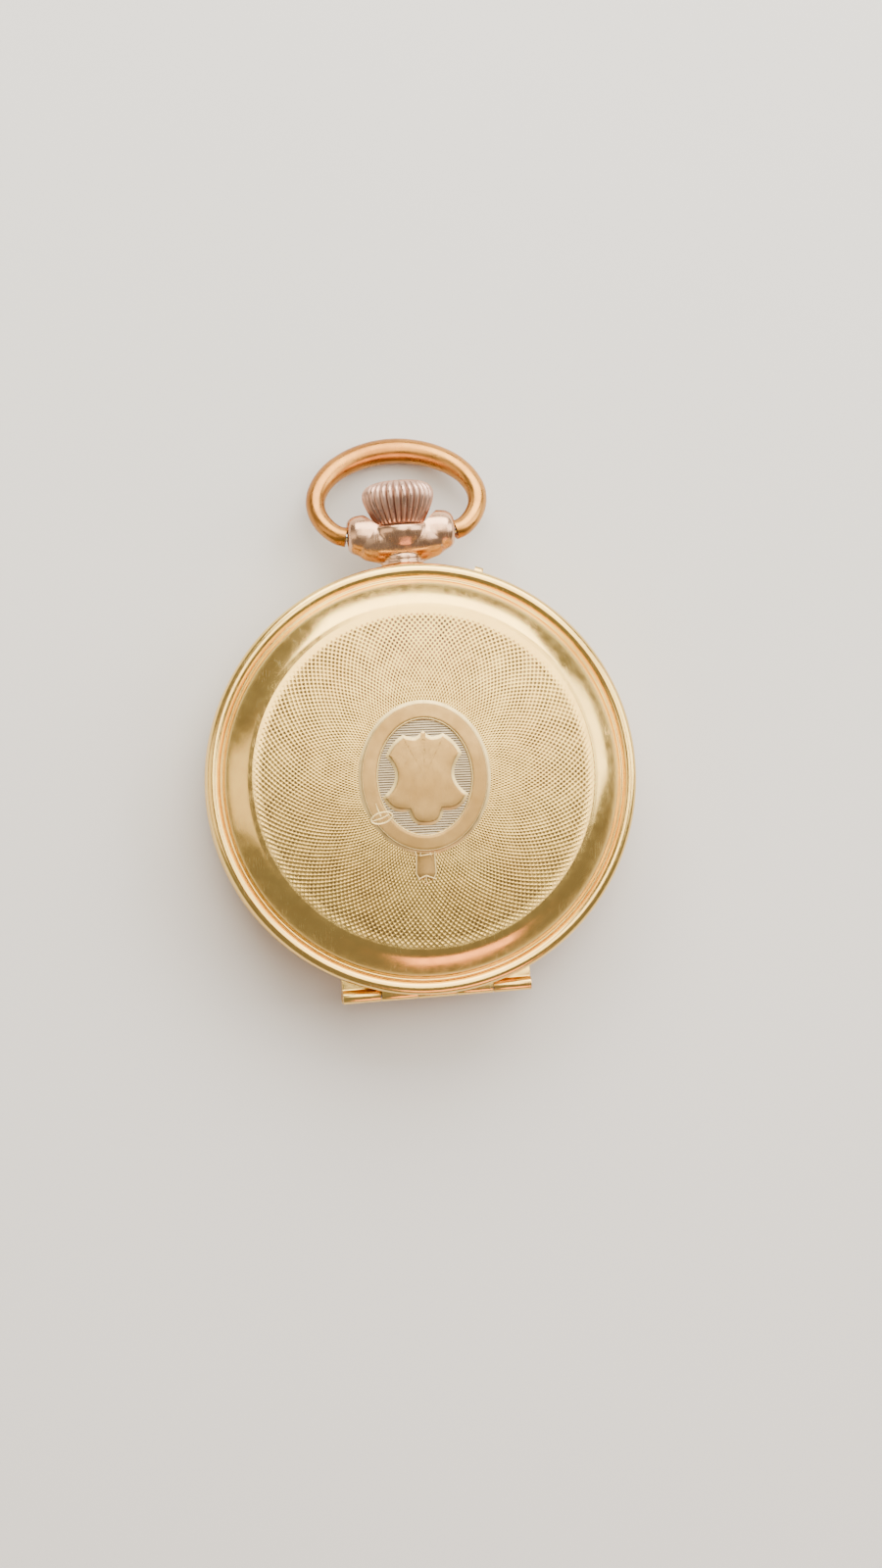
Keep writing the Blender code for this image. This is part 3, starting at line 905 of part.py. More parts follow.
BALANCE_Z = BRIDGE_Z1 + 0.55
RIM_IN = BALANCE_R - 0.6
balance = plate([ring_points(BALANCE_R, 30)] + [w[::-1] for w in windows(1.0, RIM_IN, 2, 0.7, 0.35, 10)],
                BALANCE_Z, BALANCE_Z + 0.5, BALANCE_AT)
for i in range(BALANCE_SCREWS):
    a = math.tau * (i + 0.5) / BALANCE_SCREWS
    inner, outer = at_polar(BALANCE_AT, BALANCE_R - 0.1, a), at_polar(BALANCE_AT, BALANCE_R + 0.35, a)
    balance = union(balance, rod(0.2, (*inner, BALANCE_Z + 0.25), (*outer, BALANCE_Z + 0.25), 6))
pin_at = at_polar(BALANCE_AT, 0.85, FORK_DIR + math.pi)
balance = union(balance, post(0.28, BALANCE_AT, BRIDGE_Z1 + 0.12, PLATE_Z0 - 0.1, 8),
                post(1.05, BALANCE_AT, BALANCE_Z + 0.95, BALANCE_Z + 1.2, 16),
                post(0.13, pin_at, BALANCE_Z + 1.1, FORK_Z - 0.03, 8),
                post(PIVOT_R, BALANCE_AT, BRIDGE_Z0 + 0.15, BRIDGE_Z1 + 0.3, 8),
                post(PIVOT_R, BALANCE_AT, PLATE_Z0 - 0.2, PLATE_Z0 + 0.6, 8))
finish(balance, "balance_wheel", "brass", (*BALANCE_AT, BALANCE_Z))

coil = []
TURNS, per = 6, 12
for side in (0.05, -0.05):
    arc = [(0.5 + side + (3.3 - 0.5) * i / (TURNS * per), i * math.tau / per) for i in range(TURNS * per + 1)]
    coil += [(r * math.cos(a), r * math.sin(a)) for r, a in (arc if side > 0 else reversed(arc))]
finish(plate([coil], BRIDGE_Z1 + 0.2, BRIDGE_Z1 + 0.4, BALANCE_AT), "hairspring", "blued_steel",
       (*BALANCE_AT, BRIDGE_Z1))
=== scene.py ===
"""Looks for the hunter pocket watch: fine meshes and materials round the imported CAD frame.

Sizes are in millimetres and are scaled to metres when a mesh is made. Z is up and the pendant is at +Y.
"""

import math

import bmesh
import bpy
import numpy as np
from mathutils import Matrix, Vector


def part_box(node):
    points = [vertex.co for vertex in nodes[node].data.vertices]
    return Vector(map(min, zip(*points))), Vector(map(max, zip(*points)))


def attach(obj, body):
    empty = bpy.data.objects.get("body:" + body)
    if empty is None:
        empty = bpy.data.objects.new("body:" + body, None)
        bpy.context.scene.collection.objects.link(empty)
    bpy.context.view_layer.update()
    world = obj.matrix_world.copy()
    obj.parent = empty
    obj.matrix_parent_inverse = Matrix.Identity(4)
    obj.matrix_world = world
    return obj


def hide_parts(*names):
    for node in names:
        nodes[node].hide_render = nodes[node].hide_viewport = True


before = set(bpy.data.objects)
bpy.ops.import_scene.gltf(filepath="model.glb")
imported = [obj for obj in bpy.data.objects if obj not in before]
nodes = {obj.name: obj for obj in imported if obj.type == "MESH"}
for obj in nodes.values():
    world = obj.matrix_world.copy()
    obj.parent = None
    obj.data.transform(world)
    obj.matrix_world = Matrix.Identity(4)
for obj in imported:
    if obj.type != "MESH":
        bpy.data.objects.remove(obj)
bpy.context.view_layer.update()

MM = 0.001
TAU = math.tau

# ------------------------------------------------------------------ sizes, read from the frame


def box(node):
    """The lowest and highest corners of a CAD node, in millimetres."""
    low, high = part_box(node)
    return np.array(low) / MM, np.array(high) / MM


front_high = box("front_cover")[1]
band_high = box("case_band")[1]
crown_low = box("crown")[0]
bezel_low = box("bezel")[0]
dial_high = box("dial")[1]

CASE_R = front_high[0]
TOP_Z = front_high[2]
MID_Z = TOP_Z / 2
BAND_Z0, BAND_Z1 = MID_Z - 1.6, MID_Z + 1.6
COVER_Z = BAND_Z1 + 0.05
TURNED_R = CASE_R - 5.2
RIM_IN = CASE_R - 1.7
HINGE_Y = 0.4 - CASE_R
HINGE_Z = {"front": MID_Z + 1.3, "back": MID_Z - 1.3}
HINGE_HALF = 11.0
KNUCKLE_R = 0.8
NECK_R = 2.5
EAR_Y = CASE_R + 3.9
EAR_R = 2.4
EAR_OUT = 6.28
SADDLE_Y = CASE_R + 4.6
CROWN_Y = crown_low[1]
DIAL_TOP = dial_high[2]
DIAL_R = 19.9
SECONDS_AT = (10.8, 0.0)
SECONDS_R = 4.2
SECONDS_SINK = 0.12    # depth of the seconds dial
TRACK_R = (17.4, 18.5)  # the two circles of the minute track
NUMERAL_R = 14.6
PRINT = 0.02           # thickness of the printed marks

# engine turning
GRAINS = 180           # grains in one turn
ROW = 0.34             # distance between rows of grains
SIDE = 6               # columns of the mesh for one grain
PIT = 0.05             # depth of the widest grains
GRID_IN = 7.0          # where the turned surface starts, under the garter


# ------------------------------------------------------------------ meshes


def new_object(name, mesh):
    obj = bpy.data.objects.new(name, mesh)
    bpy.context.scene.collection.objects.link(obj)
    return obj


def mesh_object(name, points, triangles):
    """An object from arrays of points, in millimetres, and of triangles."""
    mesh = bpy.data.meshes.new(name)
    points = np.asarray(points, np.float64) * MM
    triangles = np.asarray(triangles, np.int32)
    mesh.vertices.add(len(points))
    mesh.vertices.foreach_set("co", points.astype(np.float32).ravel())
    mesh.loops.add(triangles.size)
    mesh.loops.foreach_set("vertex_index", triangles.ravel())
    mesh.polygons.add(len(triangles))
    mesh.polygons.foreach_set("loop_start", np.arange(0, triangles.size, 3, dtype=np.int32))
    mesh.polygons.foreach_set("loop_total", np.full(len(triangles), 3, np.int32))
    mesh.update(calc_edges=True)
    mesh.validate()
    mesh.shade_smooth()
    return new_object(name, mesh)


def evaluated_mesh(obj):
    """The mesh of an object with its modifiers or its text and curve settings worked out."""
    bpy.context.view_layer.update()
    return bpy.data.meshes.new_from_object(obj.evaluated_get(bpy.context.evaluated_depsgraph_get()))


def carved(obj, tools):
    """The mesh of an object after its boolean tools. The object and the tools are used up."""
    for kind, tool in tools:
        step = obj.modifiers.new("step", "BOOLEAN")
        step.operation = kind
        step.object = tool
        step.solver = "EXACT"
    mesh = evaluated_mesh(obj)
    for used in (obj, *(tool for _, tool in tools)):
        bpy.data.objects.remove(used)
    return mesh


def outward(points, triangles):
    """The triangles, turned over if the body that they close is inside out."""
    a, b, c = (points[triangles[:, i]] for i in range(3))
    volume = np.einsum("ij,ij->i", a, np.cross(b, c)).sum()
    return triangles if volume > 0 else triangles[:, ::-1]


def skin(rings, slanted=None):
    """Points and triangles of a body whose surface runs from ring to ring.

    Each ring is an array of points. Where two rings differ in count, the larger count is a multiple of the
    smaller. A ring of one point closes an end. slanted(i, row) says which quads of a row are cut along
    their other diagonal.
    """
    starts = np.concatenate([[0], np.cumsum([len(r) for r in rings])])
    faces = []
    for row, (one, two) in enumerate(zip(rings, rings[1:])):
        s, t = starts[row], starts[row + 1]
        n, m = len(one), len(two)
        if n == m:
            i = np.arange(n)
            j = (i + 1) % n
            first = np.stack([s + i, s + j, t + j], 1)
            second = np.stack([s + i, t + j, t + i], 1)
            if slanted is not None:
                other = slanted(i, row)
                first[other] = np.stack([s + i, s + j, t + i], 1)[other]
                second[other] = np.stack([s + j, t + j, t + i], 1)[other]
            faces += [first, second]
            continue
        flip = n < m
        fine, coarse, f0, c0 = (m, n, t, s) if flip else (n, m, s, t)
        k = fine // coarse
        i = np.arange(fine)
        near = ((i + (k - k // 2 - 1)) // k) % coarse
        fan = np.stack([f0 + i, f0 + (i + 1) % fine, c0 + near], 1)
        joints = np.flatnonzero(near != np.roll(near, -1)) if coarse > 1 else np.array([], int)
        bridge = np.stack([f0 + (joints + 1) % fine, c0 + near[(joints + 1) % fine], c0 + near[joints]], 1)
        made = np.concatenate([fan, bridge]) if coarse > 1 else fan
        faces.append(made[:, ::-1] if flip else made)
    points = np.concatenate(rings)
    triangles = np.concatenate(faces)
    return points, outward(points, triangles)


def closed_skin(rings):
    """The skin of rings that run all the way round, so that the last one meets the first."""
    points, triangles = skin([*rings, rings[0]])
    last = len(points) - len(rings[0])
    triangles = np.where(triangles >= last, triangles - last, triangles)
    points = points[:last]
    return points, outward(points, triangles)


def circle(r, z, count):
    a = TAU * np.arange(count) / count
    return np.stack([r * np.cos(a), r * np.sin(a), np.full(count, z)], 1)


def smooth_profile(corners, step=0.25, rounds=2):
    """A polyline of (r, z) with its corners rounded by cutting, then divided no coarser than step."""
    p = np.array(corners, float)
    for _ in range(rounds):
        q = [p[0]]
        for a, b in zip(p, p[1:]):
            q += [a * 0.75 + b * 0.25, a * 0.25 + b * 0.75]
        q.append(p[-1])
        p = np.array(q)
    out = [p[0]]
    for a, b in zip(p, p[1:]):
        n = max(1, math.ceil(math.dist(a, b) / step))
        out += [a + (b - a) * i / n for i in range(1, n + 1)]
    return np.array(out)


def turned(name, profile, count=256, at=(0, 0, 0), axis="Z"):
    """A turned piece from a profile of (r, z) points, which closes on itself or starts and ends on the axis."""
    rings = [np.array([[0.0, 0.0, z]]) if r < 1e-6 else circle(r, z, count) for r, z in profile]
    points, triangles = closed_skin(rings) if profile[0][0] > 1e-6 else skin(rings)
    if axis == "Y":
        points = points[:, [1, 2, 0]]
    if axis == "X":
        points = points[:, [2, 0, 1]]
    return mesh_object(name, points + np.array(at), outward(points, triangles))


def rod(r, low, high, count, at, axis="Z"):
    """A plain round rod, which cuts a hole."""
    return turned("rod", [(0, high), (r, high), (r, low), (0, low)], count, at, axis)


def sweep(line, radii, sides, flat=1.0):
    """Points and triangles of a tube along a line, closed at its ends."""
    line, radii = np.asarray(line, float), np.asarray(radii, float)
    ahead = np.gradient(line, axis=0)
    ahead /= np.linalg.norm(ahead, axis=1)[:, None]
    side = np.cross(ahead[0], (0, 0, 1.0))
    if np.linalg.norm(side) < 0.1:
        side = np.cross(ahead[0], (1.0, 0, 0))
    rings = []
    angle = TAU * np.arange(sides) / sides
    for at, along, r in zip(line, ahead, radii):
        side = side - along * side.dot(along)
        side /= np.linalg.norm(side)
        up = np.cross(side, along)
        rings.append(at + r * (np.cos(angle)[:, None] * side + flat * np.sin(angle)[:, None] * up))
    rings = [line[:1]] + rings + [line[-1:]]
    return skin(rings)


def join(name, parts):
    """One object from several pairs of points and triangles."""
    points, triangles, start = [], [], 0
    for p, t in parts:
        points.append(np.asarray(p, float))
        triangles.append(np.asarray(t) + start)
        start += len(p)
    return mesh_object(name, np.concatenate(points), np.concatenate(triangles))


def arrays(obj):
    """The points, in millimetres, and triangles of an object."""
    mesh = obj.data
    mesh.calc_loop_triangles()
    points = np.empty(len(mesh.vertices) * 3)
    mesh.vertices.foreach_get("co", points)
    triangles = np.empty(len(mesh.loop_triangles) * 3, np.int32)
    mesh.loop_triangles.foreach_get("vertices", triangles)
    return points.reshape(-1, 3) / MM, triangles.reshape(-1, 3)


def take(obj):
    """The arrays of an object that is no longer needed."""
    found = arrays(obj)
    bpy.data.objects.remove(obj)
    return found


def slab(outline, z0, z1, bevel=0.0):
    """Points and triangles of a flat plate with bevelled edges. The outline is a list of (x, y)."""
    curve = bpy.data.curves.new("slab", "CURVE")
    curve.dimensions = "2D"
    curve.fill_mode = "BOTH"
    curve.extrude = (z1 - z0) / 2 - bevel
    curve.bevel_depth = bevel
    curve.bevel_resolution = 2
    curve.offset = -bevel
    spline = curve.splines.new("POLY")
    spline.points.add(len(outline) - 1)
    for point, (x, y) in zip(spline.points, outline):
        point.co = (x, y, 0, 1)
    spline.use_cyclic_u = True
    obj = new_object("slab", curve)
    mesh = evaluated_mesh(obj)
    bm = bmesh.new()
    bm.from_mesh(mesh)
    bmesh.ops.remove_doubles(bm, verts=bm.verts, dist=1e-5)
    bmesh.ops.triangulate(bm, faces=bm.faces)
    bm.verts.index_update()
    points = np.array([v.co for v in bm.verts])
    triangles = np.array([[v.index for v in f.verts] for f in bm.faces])
    bm.free()
    bpy.data.objects.remove(obj)
    points[:, 2] += (z0 + z1) / 2
    return points, outward(points, triangles)


def fused(name, parts, voxel, smoothing, cutters):
    """One organic body from overlapping closed parts: remeshed, smoothed and then cut."""
    obj = join(name, parts)
    remesh = obj.modifiers.new("fuse", "REMESH")
    remesh.mode = "VOXEL"
    remesh.voxel_size = voxel * MM
    remesh.use_smooth_shade = True
    soften = obj.modifiers.new("soften", "SMOOTH")
    soften.iterations = smoothing
    soften.factor = 0.5
    mesh = carved(obj, [("DIFFERENCE", cutter) for cutter in cutters])
    mesh.name = name
    mesh.shade_smooth()
    mesh.set_sharp_from_angle(angle=math.radians(50))
    return new_object(name, mesh)


def sharpen(obj, degrees):
    obj.data.set_sharp_from_angle(angle=math.radians(degrees))
    return obj


# ------------------------------------------------------------------ materials


class Nodes:
    """Small helper that wires up one node material."""

    def __init__(self, name):
        self.material = bpy.data.materials.new(name)
        self.material.use_nodes = True
        self.tree = self.material.node_tree
        self.shader = self.tree.nodes["Principled BSDF"]
        coordinate = self.tree.nodes.new("ShaderNodeTexCoord")
        self.place = coordinate.outputs["Object"]

    def set(self, **values):
        for key, value in values.items():
            self.shader.inputs[key.replace("_", " ")].default_value = value

    def link(self, output, name):
        self.tree.links.new(output, self.shader.inputs[name])

    def node(self, kind, inputs=(), **settings):
        found = self.tree.nodes.new("ShaderNode" + kind)
        for key, value in settings.items():
            setattr(found, key, value)
        for key, value in dict(inputs).items():
            if isinstance(value, bpy.types.NodeSocket):
                self.tree.links.new(value, found.inputs[key])
            else:
                found.inputs[key].default_value = value
        return found

    def noise(self, scale, detail=3.0, rough=0.5, stretch=None, turn=(0, 0, 0)):
        place = self.place
        if stretch:
            place = self.node("Mapping", {"Vector": place, "Rotation": turn, "Scale": stretch}).outputs[0]
        return self.node("TexNoise", {"Vector": place, "Scale": scale, "Detail": detail,
                                      "Roughness": rough}).outputs["Fac"]

    def ramp(self, value, low, high, out_low=0.0, out_high=1.0):
        return self.node("MapRange", {"Value": value, "From Min": low, "From Max": high, "To Min": out_low,
                                      "To Max": out_high}).outputs[0]

    def math(self, kind, a, b):
        return self.node("Math", {0: a, 1: b}, operation=kind).outputs[0]

    def mix(self, factor, a, b):
        found = self.node("Mix", {0: factor}, data_type="RGBA")
        for socket, value in ((found.inputs[6], a), (found.inputs[7], b)):
            if isinstance(value, bpy.types.NodeSocket):
                self.tree.links.new(value, socket)
            else:
                socket.default_value = (*value, 1)
        return found.outputs[2]

    def bump(self, height, distance, strength):
        return self.node("Bump", {"Height": height, "Distance": distance, "Strength": strength}).outputs[0]

    def attribute(self, name):
        return self.node("Attribute", attribute_name=name).outputs["Fac"]


def scratches(n):
    """Fine hairlines in three directions, from 0 to 1, broken up by a slower noise."""
    across, along, turns, keep = 26000.0, 500.0, (0.3, 1.35, 2.2), 0.66
    total = None
    for k, turn in enumerate(turns):
        line = n.noise(1.0, 2.0, 0.6, (across, along, along), (0.15 * k, 0.1, turn))
        line = n.ramp(line, keep, keep + 0.06)
        total = line if total is None else n.math("MAXIMUM", total, line)
    patches = n.ramp(n.noise(380.0, 2.0), 0.42, 0.62)
    return n.math("MULTIPLY", total, patches)


def metal(name, colour, dark, rough, spread, hairlines, tarnish, painted_light_attribute=None, painted_light_colour=(0.05, 0.028, 0.012)):
    """A worn metal: slow colour change, tarnish, hairlines and a second colour where the mesh has a mark.

    The mark is an attribute of the mesh that paints light into the colour: painted shade in the hollows of the
    covers, the hatched ground and the crown, and a painted highlight on the edges of the decoration.
    """
    n = Nodes(name)
    n.set(Metallic=1.0)
    slow = n.ramp(n.noise(160.0, 4.0, 0.55), 0.35, 0.68)
    base = n.mix(n.math("MULTIPLY", slow, tarnish), colour, dark)
    lines = scratches(n)
    bright = tuple(min(1.0, c * 1.12 + 0.04) for c in colour)
    base = n.mix(n.math("MULTIPLY", lines, 0.5 * hairlines), base, bright)
    roughness = n.ramp(n.noise(900.0, 3.0), 0.3, 0.7, rough - spread / 2, rough + spread / 2)
    if painted_light_attribute:
        # Painted light: where the attribute is set, the colour becomes painted shade in hollows (the near black
        # default colour) and, on the decoration, a painted highlight.
        painted_light_mask = n.attribute(painted_light_attribute)
        painted_light_mask = n.math("MULTIPLY", painted_light_mask, n.ramp(n.noise(700.0, 2.0), 0.3, 0.6, 0.65, 1.0))
        base = n.mix(painted_light_mask, base, painted_light_colour)
        roughness = n.math("ADD", roughness, n.math("MULTIPLY", painted_light_mask, 0.3))
    n.link(base, "Base Color")
    n.link(n.math("ADD", roughness, n.math("MULTIPLY", lines, 0.12 * hairlines)), "Roughness")
    n.link(n.bump(lines, 0.000004, 0.5 * hairlines), "Normal")
    return n.material


GOLD = (0.94, 0.64, 0.19)
GOLD_DARK = (0.72, 0.40, 0.11)
ROSE = (0.83, 0.52, 0.33)
ROSE_DARK = (0.47, 0.24, 0.13)
STEEL = (0.62, 0.63, 0.65)
NICKEL = (0.74, 0.73, 0.69)
GILT = (0.80, 0.60, 0.30)


def paint(obj, material):
    obj.data.materials.clear()
    obj.data.materials.append(material)


def give(obj, body, material, replaces=()):
    """Puts the material on, makes the piece ride and hides the CAD parts that it stands for."""
    paint(obj, material)
    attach(obj, body)
    if replaces:
        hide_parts(*replaces)
    return obj


def attribute(obj, name, values):
    layer = obj.data.attributes.new(name, "FLOAT", "POINT")
    layer.data.foreach_set("value", np.asarray(values, np.float32))


# ------------------------------------------------------------------ covers


def dome(r):
    """Height of the front cover's middle, under its decoration."""
    return TOP_Z - 0.22 - 0.86 * (r / TURNED_R) ** 2


def plain_outside():
    """(r, z) of the front cover outside the engine turning: slope, step lines and half-round rim."""
    slope = [(TURNED_R, dome(TURNED_R)), (TURNED_R + 0.7, dome(TURNED_R) - 0.16),
             (TURNED_R + 1.6, TOP_Z - 1.78), (RIM_IN - 0.75, TOP_Z - 2.72), (RIM_IN - 0.22, TOP_Z - 3.34)]
    slope = smooth_profile(slope, 0.2, 2)
    step = [(RIM_IN - 0.14, TOP_Z - 3.42), (RIM_IN - 0.08, TOP_Z - 3.42), (RIM_IN - 0.05, TOP_Z - 3.36),
            (RIM_IN + 0.03, TOP_Z - 3.36), (RIM_IN + 0.06, TOP_Z - 3.46), (RIM_IN + 0.12, TOP_Z - 3.46)]
    centre, wide, high = (CASE_R - 0.82, TOP_Z - 4.05), 0.82, 0.85
    rim = [(centre[0] + wide * math.cos(a), centre[1] + high * math.sin(a))
           for a in np.radians(np.linspace(150, -52, 26))]
    foot = [(CASE_R - 0.34, COVER_Z + 0.06), (CASE_R - 0.4, COVER_Z)]
    return np.array([*slope, *step, *rim, *foot])


def inside_of_cover():
    return smooth_profile([(CASE_R - 1.8, COVER_Z + 0.02), (CASE_R - 1.9, TOP_Z - 4.2),
                           (TURNED_R + 1.4, TOP_Z - 2.5), (TURNED_R - 0.3, TOP_Z - 1.6), (10, TOP_Z - 0.86),
                           (0.5, TOP_Z - 0.66)], 0.8, 1)


def pits(columns, r):
    """How deep the engine turning is, from 0 on the ridges to 1, and how strong it is at this radius."""
    u = np.arange(columns) / SIDE
    v = (r - GRID_IN) / ROW
    a, b = u + v / 2, u - v / 2
    return np.sqrt(np.abs(np.sin(np.pi * a) * np.sin(np.pi * b)))


def fade(r, inner, outer):
    """Strength of the turning, which dies out at its two edges."""
    return float(np.clip((outer - r) / 1.1, 0, 1) * np.clip((r - inner) / 0.4, 0, 1))


def notch(points):
    """Lifts the lower edge of a cover clear of the neck and of the hinge knuckles."""
    x, y, z = points[:, 0], points[:, 1], points[:, 2]
    r = np.hypot(x, y)
    floor = np.full(len(points), COVER_Z)
    neck = NECK_R + 0.15
    near = (y > 0) & (np.abs(x) < neck)
    floor[near] = np.maximum(floor[near], MID_Z + np.sqrt(neck ** 2 - x[near] ** 2))
    clear = KNUCKLE_R + 0.15
    off = y - HINGE_Y
    near = (np.abs(off) < clear) & (np.abs(x) < HINGE_HALF + 0.15)
    floor[near] = np.maximum(floor[near], HINGE_Z["front"] + np.sqrt(clear ** 2 - off[near] ** 2))
    top = TOP_Z - 3.45
    low = (r > RIM_IN - 1.9) & (z < top)
    lifted = floor + (z - COVER_Z) * (top - floor) / (top - COVER_Z)
    points[low, 2] = lifted[low]
    return points


def knuckle(x0, x1, z, up):
    """A hinge knuckle with rounded edges and the web that joins it to its part."""
    r, soft = KNUCKLE_R, 0.1
    tube = [(0.43, x0), (r - soft, x0), (r - 0.03, x0 + 0.03), (r, x0 + soft), (r, x1 - soft),
            (r - 0.03, x1 - 0.03), (r - soft, x1), (0.43, x1)]
    made = [take(turned("knuckle", tube[::-1], 40, (0, HINGE_Y, z), "X"))]
    ends = sorted((z + up * 0.2, z + up * 1.35))
    web = slab([(x0 + 0.02, HINGE_Y - 0.1), (x1 - 0.02, HINGE_Y - 0.1), (x1 - 0.02, HINGE_Y + 0.95),
                (x0 + 0.02, HINGE_Y + 0.95)], *ends, bevel=0.04)
    return made + [web]


def cover_parts(grid_in, grid_out, centre_drop):
    """Rings of a cover, front way up: the engine-turned field, its border, its rim and its inside."""
    columns = GRAINS * SIDE
    step = ROW / (SIDE / 2)
    rows = int(round((TURNED_R - GRID_IN) / step))
    middle = [np.array([[0.0, 0.0, dome(0) - centre_drop]])]
    for r in np.linspace(1.0, GRID_IN - 0.3, 7):
        middle.append(circle(r, dome(r) - centre_drop, 180))
    rings, depth = list(middle), [np.zeros(len(ring)) for ring in middle]
    for k in range(rows + 1):
        r = GRID_IN + k * step
        pit = pits(columns, r) * fade(r, grid_in, grid_out)
        ring = circle(r, dome(r), columns)
        under = centre_drop if r < grid_in - 0.5 else 0.0
        ring[:, 2] -= PIT * math.sqrt(r / TURNED_R) * pit + under
        rings.append(ring)
        depth.append(pit)
    first = len(middle)
    for r, z in plain_outside()[1:]:
        rings.append(circle(r, z, 540))
        depth.append(np.zeros(540))
    for r, z in inside_of_cover():
        rings.append(circle(r, z, 180))
        depth.append(np.zeros(180))
    rings.append(np.array([[0.0, 0.0, TOP_Z - 0.66]]))
    depth.append(np.zeros(1))

    def slanted(i, row):
        k = row - first
        if k < 0 or k >= rows:
            return np.zeros(len(i), bool)
        return (i + 1 + k) % SIDE == 0

    points, triangles = skin(rings, slanted)
    return notch(points), triangles, np.concatenate(depth)


def cover_object(name, parts, depth):
    """A cover from its parts, the field first, with painted shade in the deeper half of the pits."""
    obj = join(name, parts)
    values = np.zeros(len(obj.data.vertices))
    values[:len(depth)] = depth
    # Painted shade: the deeper half of each pit is darkened, standing in for the shade that falls in the pits.
    attribute(obj, "hollow_shade", np.clip((values - 0.52) / 0.26, 0, 1) * 0.95)
    return sharpen(obj, 75)


def front_cover():
    points, triangles, depth = cover_parts(7.2, TURNED_R - 0.1, 0.16)
    extra = []
    for x0, x1 in ((-6.5, -2.3), (2.3, 6.5)):
        extra += knuckle(x0, x1, HINGE_Z["front"], 1)
    return cover_object("front_cover_gold", [(points, triangles), *extra], depth)


def lip_parts():
    """The thumb lip of the back cover, a crescent with a small catch at its end, front way up."""
    a0, a1 = math.radians(33.0), math.radians(70.5)
    z0, z1 = 4.5, 5.4
    angles = np.linspace(a0, a1, 90)
    share = (angles - a0) / (a1 - a0)
    proud = 0.62 * np.minimum(1, np.sin(np.pi * share) * 1.6)
    proud = np.maximum(proud, 1.05 * (share > 0.94))
    rings = []
    for a, p in zip(angles, proud):
        profile = [(CASE_R - 0.6, z0), (CASE_R - 0.05 + p * 0.8, z0), (CASE_R + p, z0 + 0.2),
                   (CASE_R + p, z1 - 0.25), (CASE_R - 0.05 + p * 0.7, z1), (CASE_R - 0.6, z1)]
        rings.append(np.array([(r * math.cos(a), r * math.sin(a), z) for r, z in profile]))
    rings = [rings[0].mean(0)[None]] + rings + [rings[-1].mean(0)[None]]
    return skin(rings)


def back_cover():
    points, triangles, depth = cover_parts(9.4, TURNED_R - 0.1, 0.0)
    r = np.hypot(points[:, 0], points[:, 1])
    rest = (r < 9.4) & (points[:, 2] > TOP_Z - 0.4)
    points[rest, 2] = TOP_Z - 0.12 * np.clip((r[rest] - 8.9) / 0.5, 0, 1) - 0.1 * (r[rest] > 9.35)
    points[:, 2] = 2 * MID_Z - points[:, 2]
    triangles = triangles[:, ::-1]
    x, y, z = points.T
    gap = (np.abs(x) < 2.75) & (y < HINGE_Y + 1.4) & (z > 4.6)
    points[gap, 2] = 4.6
    extra = [lip_parts()]
    for x0, x1 in ((-6.9, -2.6), (2.6, 6.9)):
        extra += knuckle(x0, x1, HINGE_Z["back"], -1)
    return cover_object("back_cover_gold", [(points, triangles), *extra], depth)


# ------------------------------------------------------------------ garter, shield and hatching


def ellipse(a, b, count=180):
    return [(a * math.cos(t), b * math.sin(t)) for t in TAU * np.arange(count) / count]


def lay(points, lift=0.0):
    """Bends flat decoration, whose z starts at 0, onto the dome of the cover."""
    points = np.array(points, float)
    c, s = math.cos(CARTOUCHE_TURN), math.sin(CARTOUCHE_TURN)
    points[:, :2] = points[:, :2] @ np.array([[c, -s], [s, c]])
    points[:, 2] += dome(np.hypot(points[:, 0], points[:, 1])) + lift
    return points


def divide(outline, step):
    """More points along a closed outline, so that it can follow the dome."""
    made = []
    for a, b in zip(outline, outline[1:] + outline[:1]):
        n = max(1, math.ceil(math.dist(a, b) / step))
        made += [(a[0] + (b[0] - a[0]) * i / n, a[1] + (b[1] - a[1]) * i / n) for i in range(n)]
    return made


def relief(outer, inner, top, bevel_out, bevel_in, floor=-0.16):
    """A flat band between two closed outlines of equal count, with bevelled sides."""
    outer, inner = np.array(outer), np.array(inner)
    rows = [(outer, floor), (outer, 0.0)]
    for share in (0.5, 0.92, 1.0):
        rows.append((outer + (inner - outer) * bevel_out * share, top * min(1.0, share * 1.06)))
    for share in np.linspace(bevel_out, 1 - bevel_in, 6)[1:-1]:
        rows.append((outer + (inner - outer) * share, top))
    for share in (1.0, 0.6, 0.0):
        rows.append((inner + (outer - inner) * bevel_in * share, top * math.sin(share * math.pi / 2)))
    rows.append((inner, floor))
    points, triangles = closed_skin([np.column_stack([flat, np.full(len(flat), z)]) for flat, z in rows])
    return lay(points), triangles


GARTER = (7.65, 8.85)      # half width and half length outside
GARTER_IN = (5.35, 6.6)
GARTER_AT = (0.0, 0.1)
RAISED = 0.19
CARTOUCHE_TURN = math.radians(2.0)   # it leans a little to the right of the pendant's line


def shifted(points, at):
    return [(x + at[0], y + at[1]) for x, y in points]


def arc(a, b, bulge, count=10):
    """Points from a to b along an arc that bulges to the left of the way by this share of the chord."""
    (x0, y0), (x1, y1) = a, b
    out = []
    for k in range(count):
        t = k / count
        s = 4 * bulge * t * (1 - t)
        out.append((x0 + (x1 - x0) * t - (y1 - y0) * s, y0 + (y1 - y0) * t + (x1 - x0) * s))
    return out


def shield_outline():
    """The shield: a peaked top with two scallops, hollow sides, side lobes and a round foot."""
    right = [(0.0, 5.5), (0.97, 4.7), (2.3, 5.03), (4.4, 2.62), (4.94, -2.03), (2.0, -3.8), (0.0, -5.44)]
    bulges = (-0.08, -0.06, 0.09, -0.27, 0.2, 0.23)
    half = []
    for a, b, bulge in zip(right, right[1:], bulges):
        half += arc(a, b, bulge)
    half.append(right[-1])
    return half + [(-x, y) for x, y in half[-2:0:-1]]


